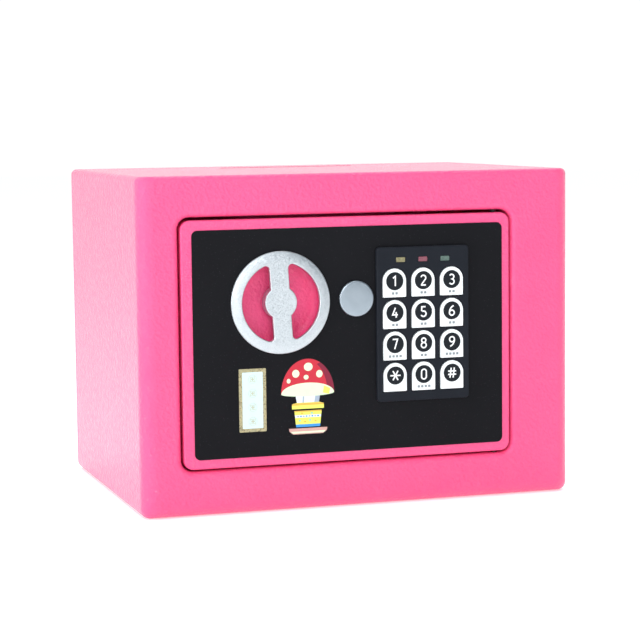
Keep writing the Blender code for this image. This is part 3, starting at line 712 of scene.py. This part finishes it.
def make_door(shown):
    front = box_mm("door_plate")[0].y
    wheel = middle("handwheel")
    lock = middle("override_cap")
    corner = DOORWAY_CORNER - DOOR_GAP
    plate = tray(face_rect("door_plate"), corner, front + DOOR_DEPTH, front, DOOR_RIM,
                 DOOR_PLATE, DOOR_EDGE)
    dish_back = front + DISH_DEPTH + SHEET
    steps = [
        ("UNION", round_y(wheel, DISH_RADIUS + SHEET, front + DOOR_PLATE - 0.5, dish_back, 128)),
        cut(dish_hollow(front, wheel)),
        cut(round_y(wheel, SPINDLE_HOLE, front + DISH_DEPTH - 1.0, dish_back + 1.0)),
        cut(round_y(lock, BARREL_HOLE, front - 1.0, front + DOOR_PLATE + 1.0)),
        cut(keypad_window(front)),
    ]
    add_piece("door_skin", plate, shown["paint"], "door",
              ["door_plate"], steps)


def make_overlay(shown):
    low, high = box_mm("front_overlay")
    rect = face_rect("front_overlay")

    sheet = slab(drawn_outline(rect, OVERLAY_CORNER), low.y, high.y, 0.15)
    through = (low.y - 1.0, high.y + 1.0)
    steps = [
        cut(round_y(middle("handwheel"), DISH_RADIUS + 1.3, *through)),
        cut(round_y(middle("override_cap"), BARREL_HOLE, *through)),
        cut(keypad_window(low.y)),
    ]
    add_piece("overlay_film", sheet, shown["film"], "door",
              ["front_overlay"], steps)


# ---------------------------------------------------------------- stickers


def make_name_sticker(shown):
    """A long sticker: gold border, pale field and four plain rosettes in faint gold."""
    low, high = box_mm("name_sticker")
    rect = face_rect("name_sticker")
    face = low.y
    field = grown(rect, -1.75)
    parts = [
        (prism(rounded_rectangle(rect, 0.5, 4), face + 0.02, high.y), 0),
        (prism(rounded_rectangle(field, 0.3, 3), face, face + 0.05), 1),
    ]
    centre = (rect[0] + rect[1]) / 2
    spacing = (field[3] - field[2]) / 4
    for number in range(4):
        z = field[2] + spacing * (number + 0.5)
        for petal in range(4):
            turn = math.radians(45 + 90 * petal)
            tip = (centre + 1.7 * math.cos(turn), z + 1.7 * math.sin(turn))
            ring = [tip, (centre + 1.2 * math.cos(turn + 0.5), z + 1.2 * math.sin(turn + 0.5)),
                    (centre, z),
                    (centre + 1.2 * math.cos(turn - 0.5), z + 1.2 * math.sin(turn - 0.5))]
            parts.append((tube(ring, 0.16, face - 0.01, 0.02, closed=True, sides=6), 2))
        ring = arc((centre, z), 2.15, 0, 360, 24)[:-1]
        parts.append((tube(ring, 0.12, face - 0.01, 0.02, closed=True, sides=6), 2))
    materials = [shown["gold"], shown["field"], shown["faint_gold"]]
    add_piece("name_print", merged(parts), materials, "door",
              ["name_sticker"])


def make_picture_sticker(shown):
    """A sticker of a toadstool in a pot, laid up as thin printed shapes on a dark outline."""
    low, high = box_mm("picture_sticker")
    centre = (low.x + high.x) / 2
    foot = low.z
    inks = ["outline", "red", "deep_red", "cream", "yellow", "amber", "pale", "shade", "blue",
            "aqua", "tan"]
    parts = []

    def add(points, ink, mirrored=False):
        """Lays the next shape on; its points are from the sticker's centre line and foot."""
        if mirrored:
            points = points + [(-x, z) for x, z in reversed(points)]
        face = low.y + 0.04 - 0.002 * len(parts)
        outline = [(centre + x, foot + z) for x, z in points]
        parts.append((prism(outline, face, high.y - 0.02), inks.index(ink)))

    def bow(width, height, base, start=0, end=180):
        return [(width * x, base + height * z) for x, z in arc((0, 0), 1.0, start, end, 40)]

    def spot(x, z, width, height, ink):
        add([(x + width * a, z + height * b) for a, b in arc((0, 0), 1, 0, 360, 24)[:-1]], ink)

    left = [(-13.6, 19.8), (-7.4, 22.0), (-6.4, 16.8), (-8.8, 16.0), (-8.8, 12.8), (-7.6, 12.2),
            (-6.6, 4.4), (-10.6, 3.8), (-10.2, 1.8), (-8.2, 0.0)]
    add(bow(14.5, 18.0, 20.9) + left + [(-x, z) for x, z in reversed(left)], "outline")
    add([(5.8, 16.4), (6.8, 21.8)], "pale", True)
    add([(5.8, 16.4), (6.8, 21.8), (4.2, 21.8), (3.4, 16.4)], "shade")
    add([(-2.9, 16.4), (-2.5, 21.8), (-1.7, 21.8), (-2.1, 16.4)], "shade")
    add(bow(14.0, 17.5, 21.0), "red")
    add(bow(14.0, 17.5, 21.0, 0, 62) + bow(10.4, 16.5, 21.0, 62, 0), "deep_red")
    add(bow(13.9, 5.4, 21.0) + bow(13.9, -1.5, 21.0, 180, 0), "cream")
    add([(8.6, 24.6), (11.9, 23.0), (11.2, 20.2), (8.0, 21.0)], "yellow")
    for x, z, width, height in ((-6.2, 31.2, 1.9, 2.0), (0.4, 34.4, 2.3, 2.1), (6.2, 30.6, 1.7, 1.9),
                                (-0.8, 29.2, 1.3, 1.2), (-10.0, 27.6, 1.0, 1.2)):
        spot(x, z, width, height, "cream")
    add([(8.4, 13.2), (8.4, 15.7), (6.0, 16.4)], "yellow", True)
    add([(8.4, 15.0), (8.4, 15.7), (6.4, 16.2)], "amber", True)
    add([(6.45, 5.4), (7.2, 12.3)], "yellow", True)
    add([(7.1, 11.6), (7.2, 12.3)], "amber", True)
    add([(6.8, 8.8), (6.95, 10.1)], "pale", True)
    for number in range(8):
        spot(-5.25 + 1.5 * number, 9.45, 0.5, 0.4, "blue" if number % 2 else "shade")
    for x, z, ink in ((-4.4, 7.3, "aqua"), (-1.6, 6.7, "amber"), (1.0, 7.4, "aqua"),
                      (3.9, 6.9, "amber"), (-3.2, 10.9, "amber"), (2.0, 10.9, "aqua")):
        spot(x, z, 0.6, 0.45, ink)
    add([(6.3, 4.0), (6.4, 5.4)], "blue", True)
    add([(7.9, 0.4), (9.8, 1.9), (10.1, 3.4)], "tan", True)
    add([(8.2, 0.9), (9.3, 1.8), (-9.3, 1.8), (-8.2, 0.9)], "cream")
    add_piece("picture_print", merged(parts), [shown[ink] for ink in inks], "door",
              ["picture_sticker"])


# ---------------------------------------------------------------- handwheel and lock


def wheel_hole(side, centre, by):
    """Outline of one D-shaped finger hole, grown by a distance; side is 1 right, -1 left."""
    fillet = WHEEL_HOLE_FILLET + by
    reach = WHEEL_HOLE_RADIUS + by
    edge = WHEEL_BAR / 2 - by
    height = math.sqrt((reach - fillet) ** 2 - (edge + fillet) ** 2)
    angle = math.degrees(math.atan2(height, edge + fillet))
    outline = arc((edge + fillet, -height), fillet, -180, -angle, 10)
    outline += arc((0.0, 0.0), reach, -angle, angle, 48)[1:-1]
    outline += arc((edge + fillet, height), fillet, angle, 180, 10)
    points = []
    for x, z in outline:
        x *= side
        across = x * math.cos(WHEEL_TILT) + z * math.sin(WHEEL_TILT)
        up = z * math.cos(WHEEL_TILT) - x * math.sin(WHEEL_TILT)
        points.append((centre[0] + across, centre[1] + up))
    return points


def make_handwheel(shown):
    low, high = box_mm("handwheel")
    centre = middle("handwheel")
    radius = (high.x - low.x) / 2
    front = low.y
    back = front + 2.0
    profile = [(radius - inset, front + drop)
               for inset, drop in ((5.6, 0.0), (4.4, 0.05), (3.2, 0.15), (2.2, 0.29), (1.3, 0.48))]
    profile += [(radius - inset, front + 0.60 + drop) for inset, drop in quarter(0.7, 8)]
    profile += [(radius, back - 0.3), (radius - 0.3, back)]
    steps = []
    for side in (1, -1):
        loops = [at_y(wheel_hole(side, centre, WHEEL_EDGE), front - 1.0)]
        for inset, drop in quarter(WHEEL_EDGE, 6):
            loops.append(at_y(wheel_hole(side, centre, inset), front + drop))
        loops.append(at_y(wheel_hole(side, centre, 0.0), back + 1.0))
        steps.append(cut(skin(loops)))
    hub = [(WHEEL_HUB_RADIUS - inset, front + drop) for inset, drop in quarter(WHEEL_EDGE, 6)]
    neck = front + WHEEL_HUB_DEPTH
    hub += [(WHEEL_HUB_RADIUS, neck), (WHEEL_NECK_RADIUS, neck), (WHEEL_NECK_RADIUS, high.y)]
    steps.append(("UNION", turned("Y", centre, hub, 96)))
    add_piece("handwheel_casting", turned("Y", centre, profile, 128), shown["silver"],
              "handwheel", ["handwheel"], steps)


def make_lock(shown):
    low, high = box_mm("override_cap")
    centre = middle("override_cap")
    radius = (high.x - low.x) / 2
    top = low.y
    profile = [(radius - 0.7, top + 0.9), (radius - 0.7, high.y), (radius, high.y)]
    profile += [(radius - inset, top + 0.15 + drop) for inset, drop in reversed(quarter(0.8, 8))]
    profile += [(radius - 3.0, top + 0.05), (radius - 6.0, top)]
    add_piece("lock_cap", turned("Y", centre, profile), shown["cap"], "override_cap",
              ["override_cap"])

    low, high = box_mm("lock_barrel")
    flange = (high.x - low.x) / 2
    plug_low, plug_high = box_mm("lock_plug")
    plug = (plug_high.x - plug_low.x) / 2
    film = box_mm("front_overlay")[0].y
    profile = [(plug + 0.3, low.y), (flange - 0.3, low.y), (flange, low.y + 0.3),
               (flange, film - 0.1), (flange - 2.0, film - 0.1), (flange - 2.0, high.y),
               (plug + 0.3, high.y)]
    add_piece("lock_case", turned("Y", centre, profile, closed=True), shown["steel"], "door",
              ["lock_barrel"])
    core = [(plug - inset, plug_low.y + drop) for inset, drop in quarter(0.25, 4)]
    core.append((plug, plug_high.y))
    keyway = (centre[0] - 0.6, centre[0] + 0.6, centre[1] - 2.5, centre[1] + 2.5)
    cutter = prism(rounded_rectangle(keyway, 0.3, 3), plug_low.y - 1.0, plug_low.y + 12.0)
    add_piece("lock_core", turned("Y", centre, core), shown["brass"], "lock_plug",
              ["lock_plug"], [cut(cutter)])


# ---------------------------------------------------------------- keypad


def arch(rect, by=0.0):
    """A key's outline, grown by a distance: a half circle on top and a flat foot."""
    left, right, bottom, top = rect
    radius = (right - left) / 2
    centre = (left + right) / 2
    corner = KEY_FOOT_CORNER
    outline = arc((centre, top - radius), radius + by, 0, 180, 36)
    outline += arc((left + corner, bottom + corner), corner + by, 180, 270, 5)
    outline += arc((right - corner, bottom + corner), corner + by, 270, 360, 5)
    return outline


def digit_lines(name):
    """A key's sign as lines about its middle, in millimetres; a line is (closed, points)."""
    side, half = 1.30, 2.52
    upper = half - side
    if name == "0":
        points = arc((0, upper), side, 0, 180, 16) + arc((0, -upper), side, 180, 360, 16)
        return [(True, points)]
    if name == "1":
        return [(False, [(-0.95, 1.50), (0.30, 2.45), (0.30, -2.52)])]
    if name == "2":
        bowl = arc((0, upper), side, 165, -30, 14)
        return [(False, bowl + [(-1.20, -2.48)]), (False, [(-1.30, -2.48), (1.35, -2.48)])]
    if name == "3":
        bowls = arc((0, 1.27), 1.20, 150, -90, 16) + arc((0, -1.23), 1.30, 90, -150, 18)[1:]
        return [(False, bowls)]
    if name == "4":
        return [(False, [(0.25, 2.52), (-1.30, -1.05), (1.50, -1.05)]),
                (False, [(0.62, 0.35), (0.62, -2.52)])]
    if name == "5":
        bowl = arc((-0.02, -1.12), 1.38, 118, -155, 20)
        return [(False, [(1.10, 2.48), (-0.95, 2.48), (-1.05, 0.20)]), (False, bowl)]
    if name in ("6", "9"):
        turn = 1 if name == "6" else -1
        bowl = [(turn * x, turn * z) for x, z in arc((0, -1.18), 1.32, 0, 360, 28)[:-1]]
        stem = arc((2.35, -1.0), 3.67, 178, 112, 10)
        return [(True, bowl), (False, [(turn * x, turn * z) for x, z in stem])]
    if name == "7":
        return [(False, [(-1.35, 2.48), (1.25, 2.48), (-0.30, -2.52)])]
    if name == "8":
        return [(True, arc((0, 1.35), 1.13, 0, 360, 26)[:-1]),
                (True, arc((0, -1.15), 1.34, 0, 360, 28)[:-1])]
    if name == "star":
        spokes = [math.radians(angle) for angle in (0, 60, 120)]
        ends = [(2.75 * math.cos(a), 2.75 * math.sin(a)) for a in spokes]
        return [(False, [(x, z), (-x, -z)]) for x, z in ends]
    bars = [(False, [(x - 0.35, -2.6), (x + 0.35, 2.6)]) for x in (-0.85, 0.85)]
    return bars + [(False, [(-2.2, z), (2.2, z)]) for z in (-0.85, 0.85)]


def make_key(node, shown):
    """A white key with a black disc, its sign and a row of plain dashes under it."""
    low, high = box_mm(node)
    rect = face_rect(node)
    name = node.removeprefix("key_")
    centre = (rect[0] + rect[1]) / 2
    face = low.y + 0.03
    middle_z = rect[3] - PRINT_DROP

    def outline_at(inset):
        return arch(rect, -inset)

    disc = [(DISC_RADIUS, face - 0.012), (DISC_RADIUS, face + 0.1)]
    parts = [(slab(outline_at, face, high.y, 0.4), 0),
             (turned("Y", (centre, middle_z), disc, 72), 1)]
    for closed, points in digit_lines(name):
        moved = [(centre + x, middle_z + z) for x, z in points]
        parts.append((tube(moved, STROKE, face - 0.012, 0.015, closed), 2))
    count = DASHES.get(name, 0)
    width, height = DASH_SIZE[0] / 2, DASH_SIZE[1] / 2
    for number in range(count):
        x = centre + (number - (count - 1) / 2) * DASH_PITCH
        z = rect[3] - DASH_DROP
        dash = rounded_rectangle((x - width, x + width, z - height, z + height), 0.12, 2)
        parts.append((prism(dash, face - 0.01, face + 0.1), 3))
    materials = [shown[ink] for ink in ("white", "key_black", "key_digit", "key_dash")]
    add_piece(f"cap_{node}", merged(parts), materials, node, [node])


def make_keypad(shown):
    low, high = box_mm("keypad_housing")
    rect = face_rect("keypad_housing")
    film = box_mm("front_overlay")[0].y
    loops = []
    for inset, drop in quarter(0.7, 8):
        outline = rounded_rectangle(grown(rect, -inset), KEYPAD_CORNER - inset)
        loops.append(at_y(outline, low.y + drop))
    loops.append(at_y(rounded_rectangle(rect, KEYPAD_CORNER), film - 0.05))
    rim = drawn_in(rect, KEYPAD_RIM_INSET)
    loops.append(at_y(rounded_rectangle(rim, 1.0), film - 0.05))
    loops.append(at_y(rounded_rectangle(rim, 1.0), high.y))
    inner = rounded_rectangle(grown(rim, -1.2), 0.6)
    loops.append(at_y(inner, high.y))
    loops.append(at_y(inner, film - 0.1))

    steps = []
    keys = [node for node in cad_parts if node.startswith("key_") and node != "key_mat"]
    for node in keys:
        key_rect = face_rect(node)
        outlines = [(KEY_GAP + 0.25, -1.0), (KEY_GAP + 0.25, 0.0), (KEY_GAP + 0.07, 0.07),
                    (KEY_GAP, 0.25), (KEY_GAP, film - low.y + 1.1)]
        cutter = skin([at_y(arch(key_rect, by), low.y + drop) for by, drop in outlines])
        steps.append(cut(cutter))
        make_key(node, shown)
    for node in ("led_yellow", "led_red", "led_green"):
        window = face_rect(node)
        hole = rounded_rectangle(grown(window, 0.1), 0.35, 4)
        steps.append(cut(prism(hole, low.y - 1.0, film + 0.5)))
        lens_low, lens_high = box_mm(node)
        plate = slab(drawn_outline(window, 0.5, 4), lens_low.y, lens_high.y, 0.2)
        add_piece(f"{node}_lens", plate, shown[node], "door",
                  [node])
    add_piece("keypad_frame", skin(loops), shown["slate"], "door",
              ["keypad_housing"], steps)


# ---------------------------------------------------------------- inside of the door


def make_cover(shown):
    low, high = box_mm("inner_cover")
    rect = face_rect("inner_cover")
    shell = tray(rect, COVER_CORNER, low.y, high.y, COVER_WALL, COVER_WALL, 1.2)
    steps = []
    for node in ("bolt_upper", "bolt_lower"):
        ends = [(BOLT_HOLE, rect[0] - 2.0), (BOLT_HOLE, rect[0] + COVER_WALL + 2.0)]
        steps.append(cut(turned("X", side_middle(node), ends, 64)))
    through = (high.y - COVER_WALL - 1.0, high.y + 1.0)
    hatch = grown(face_rect("battery_cover"), 0.3)
    steps.append(cut(prism(rounded_rectangle(hatch, 2.0, 6), *through)))
    steps.append(cut(round_y(middle("reset_button"), RESET_HOLE, *through, 64)))
    for number in range(1, 5):
        centre = middle(f"cover_screw_{number}")
        steps.append(cut(round_y(centre, SCREW_HOLE, *through, 48)))
    for number in range(6):
        z = rect[2] + 22.0 + 13.0 * number
        groove = (rect[0] + 14.0, hatch[0] - 10.0, z - 0.8, z + 0.8)
        steps.append(cut(prism(rounded_rectangle(groove, 0.75, 4), high.y - 0.6, high.y + 1.0)))
    add_piece("cover_shell", shell, shown["black"], "door",
              ["inner_cover"], steps)


def make_hatch(shown):
    """The battery cover, with five grip lines."""
    low, high = box_mm("battery_cover")
    rect = face_rect("battery_cover")
    outline_at = drawn_outline(rect, HATCH_CORNER, 6)
    centre = (rect[0] + rect[1]) / 2
    steps = []
    for number in range(5):
        z = rect[3] - 6.0 - 2.2 * number
        line = (centre - 9.0, centre + 9.0, z - 0.5, z + 0.5)
        steps.append(cut(prism(rounded_rectangle(line, 0.45, 4), high.y - 0.5, high.y + 1.0)))
    add_piece("hatch_plate", slab(outline_at, high.y, low.y, 0.3), shown["black"],
              "battery_cover", ["battery_cover"], steps)


def make_screws(shown):
    for number in range(1, 5):
        node = f"cover_screw_{number}"
        low, high = box_mm(node)
        centre = middle(node)
        head = (high.x - low.x) / 2
        dome = [(head - inset, high.y - 0.5 * drop) for inset, drop in quarter(1.2, 6)]
        profile = [(0.9, high.y), *dome, (head, high.y - 1.5), (1.8, high.y - 1.5), (1.8, low.y)]
        steps = []
        for along, across in ((2.0, 0.35), (0.35, 2.0)):
            corner = (centre[0] - along, high.y - 0.9, centre[1] - across)
            opposite = (centre[0] + along, high.y + 1.0, centre[1] + across)
            steps.append(cut(block(corner, opposite)))
        add_piece(f"screw_{number}", turned("Y", centre, profile, 48), shown["steel"], "door",
                  [node], steps)


def make_bolts(shown):
    for node in ("bolt_upper", "bolt_lower"):
        low, high = box_mm(node)
        centre = side_middle(node)
        radius = (high.z - low.z) / 2
        profile = [(radius - inset, low.x + drop) for inset, drop in quarter(1.2, 8)]
        profile.append((radius, high.x))
        add_piece(f"{node}_bar", turned("X", centre, profile), shown["steel"], "bolt_work",
                  [node])


def make_reset(shown):
    low, high = box_mm("reset_button")
    radius = (high.x - low.x) / 2
    profile = [(radius - inset, high.y - drop) for inset, drop in quarter(0.6, 6)]
    profile.append((radius, low.y))
    add_piece("reset_cap", turned("Y", middle("reset_button"), profile, 64),
              shown["red_plastic"], "reset_button", ["reset_button"])


def make_batteries(shown):
    """Four cells: a wrapped body with a steel face and a steel nipple."""
    for number in range(1, 5):
        node = f"battery_{number}"
        low, high = box_mm(node)
        centre = side_middle(node)
        radius = (high.z - low.z) / 2
        facing = 1 if number % 2 == 0 else -1
        start = low.x if facing > 0 else high.x
        length = high.x - low.x
        wrap = [(radius - 0.4, start), (radius, start + facing * 0.4),
                (radius, start + facing * (length - 1.9)),
                (radius - 0.4, start + facing * (length - 1.5))]
        nipple = [(radius - 0.9, start + facing * (length - 1.7)),
                  (radius - 0.9, start + facing * (length - 1.45)),
                  (2.7, start + facing * (length - 1.45)),
                  (2.7, start + facing * (length - 0.2)), (2.5, start + facing * length)]
        parts = [(turned("X", centre, wrap, 64), 0), (turned("X", centre, nipple, 48), 1)]
        add_piece(f"cell_{number}", merged(parts), [shown["cell"], shown["steel"]], "door",
                  [node])


def paint_frame_nodes(shown):
    """Gives the CAD nodes that stay in view their materials."""
    chosen = {
        "paint": ["back_panel"],
        # The hinge pins get steel painted near-black as painted shade of the door gap, not their own
        # colour.
        "black_steel": ["hinge_pin_top", "hinge_pin_bottom"],
        "steel": ["lock_cam", "knob_spindle", "cam_lever", "bolt_carriage", "guide_post_upper",
                  "guide_post_lower", "solenoid_plunger", "plunger_spring"],
        "wrap": ["solenoid_body"],
        "black": ["battery_holder"],
        "board": ["control_board", "keypad_board"],
        "rubber": ["key_mat"],
    }
    for name, nodes in chosen.items():
        for node in nodes:
            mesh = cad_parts[node].data
            mesh.materials.clear()
            mesh.materials.append(shown[name])


# ---------------------------------------------------------------- stage


def make_floor():
    """A pale floor, lit enough of itself to fade into the background."""
    bm = bmesh.new()
    bmesh.ops.create_circle(bm, cap_ends=True, segments=96, radius=6.0)
    mesh = bpy.data.meshes.new("floor")
    bm.to_mesh(mesh)
    bm.free()
    sockets = {"Specular IOR Level": 0.0, "Emission Color": (1.0, 1.0, 1.0, 1.0),
               "Emission Strength": FLOOR_GLOW}
    g = Graph("floor", (0.80, 0.80, 0.80), 0.9, **sockets)
    g.set("Roughness", g.spread(g.noise(30.0), 0.85, 0.95))
    mesh.materials.append(g.material)
    floor = bpy.data.objects.new("floor", mesh)
    floor.location.z = -FLOOR_DROP
    add_object(floor)


def aim(thing, place, target):
    thing.location = place
    thing.rotation_euler = (Vector(target) - Vector(place)).to_track_quat("-Z", "Y").to_euler()


def add_light(name, place, target, size, power):
    light = bpy.data.lights.new(name, "AREA")
    light.shape = "RECTANGLE"
    light.size, light.size_y = size
    light.energy = power
    lamp = bpy.data.objects.new(name, light)
    add_object(lamp)
    aim(lamp, place, target)


def make_lights():
    target = (0.0, -0.05, 0.08)
    add_light("key_light", (-0.75, -0.95, 1.15), target, (0.9, 0.9), 9.0)
    add_light("fill_light", (-0.20, -1.45, 0.45), target, (0.5, 0.5), 4.4)
    add_light("top_light", (0.15, 0.10, 1.50), target, (1.2, 0.9), 11.0)
    add_light("strip_light", (-1.05, -0.42, 0.34), target, (0.05, 0.50), 4.0)


def make_world():
    """A studio that is bright behind and above the object and dimmer behind the camera."""
    world = bpy.data.worlds.new("studio")
    bpy.context.scene.world = world
    world.use_nodes = True
    tree = world.node_tree
    place = tree.nodes.new("ShaderNodeTexCoord").outputs["Generated"]
    parts = tree.nodes.new("ShaderNodeSeparateXYZ")
    tree.links.new(place, parts.inputs[0])
    ramp = tree.nodes.new("ShaderNodeValToRGB")
    ramp.color_ramp.elements[0].position = 0.30
    ramp.color_ramp.elements[0].color = (0.28, 0.31, 0.345, 1.0)
    ramp.color_ramp.elements[1].position = 0.62
    ramp.color_ramp.elements[1].color = (1.0, 1.0, 1.0, 1.0)
    depth = tree.nodes.new("ShaderNodeMapRange")
    depth.inputs["From Min"].default_value = -1.0
    tree.links.new(parts.outputs["Y"], depth.inputs["Value"])
    tree.links.new(depth.outputs["Result"], ramp.inputs["Fac"])
    studio = tree.nodes["Background"]
    tree.links.new(ramp.outputs["Color"], studio.inputs["Color"])
    plain = tree.nodes.new("ShaderNodeBackground")
    plain.inputs["Color"].default_value = (1.0, 1.0, 1.0, 1.0)
    plain.inputs["Strength"].default_value = 1.05
    seen = tree.nodes.new("ShaderNodeLightPath")
    either = tree.nodes.new("ShaderNodeMixShader")
    tree.links.new(seen.outputs["Is Camera Ray"], either.inputs[0])
    tree.links.new(studio.outputs[0], either.inputs[1])
    tree.links.new(plain.outputs[0], either.inputs[2])
    tree.links.new(either.outputs[0], tree.nodes["World Output"].inputs["Surface"])


def make_camera():
    data = bpy.data.cameras.new("camera")
    data.lens = FOCAL_LENGTH_MM
    data.sensor_width = 36.0
    data.clip_start = 0.05
    yaw, pitch, roll = CAMERA_YAW, CAMERA_PITCH, CAMERA_ROLL
    forward = Vector((math.sin(yaw) * math.cos(pitch), math.cos(yaw) * math.cos(pitch),
                      -math.sin(pitch)))
    level = Vector((math.cos(yaw), -math.sin(yaw), 0.0))
    upright = level.cross(forward)
    right = math.cos(roll) * level + math.sin(roll) * upright
    up = math.cos(roll) * upright - math.sin(roll) * level
    turn = Matrix((right, up, -forward)).transposed().to_4x4()
    low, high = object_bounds()
    base = Vector(((low[0] + high[0]) / 2, 0.0, low[2]))
    camera = bpy.data.objects.new("camera", data)
    camera.matrix_world = Matrix.Translation(base + Vector(CAMERA_FROM_BASE_MM) * MM) @ turn
    add_object(camera)
    bpy.context.scene.camera = camera


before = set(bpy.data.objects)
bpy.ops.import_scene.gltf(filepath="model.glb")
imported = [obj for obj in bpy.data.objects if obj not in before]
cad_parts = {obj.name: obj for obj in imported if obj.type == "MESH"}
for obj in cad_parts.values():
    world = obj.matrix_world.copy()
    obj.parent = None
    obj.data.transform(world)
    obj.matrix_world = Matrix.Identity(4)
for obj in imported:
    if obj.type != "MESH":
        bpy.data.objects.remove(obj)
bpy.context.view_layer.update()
bpy.context.scene.view_settings.view_transform = "Standard"

make_camera()
make_world()
make_lights()
make_floor()
shown = make_materials()
for make in (make_cabinet, make_door, make_overlay, make_name_sticker, make_picture_sticker,
             make_handwheel, make_lock, make_keypad, make_cover, make_hatch, make_screws,
             make_bolts, make_reset, make_batteries, paint_frame_nodes):
    make(shown)
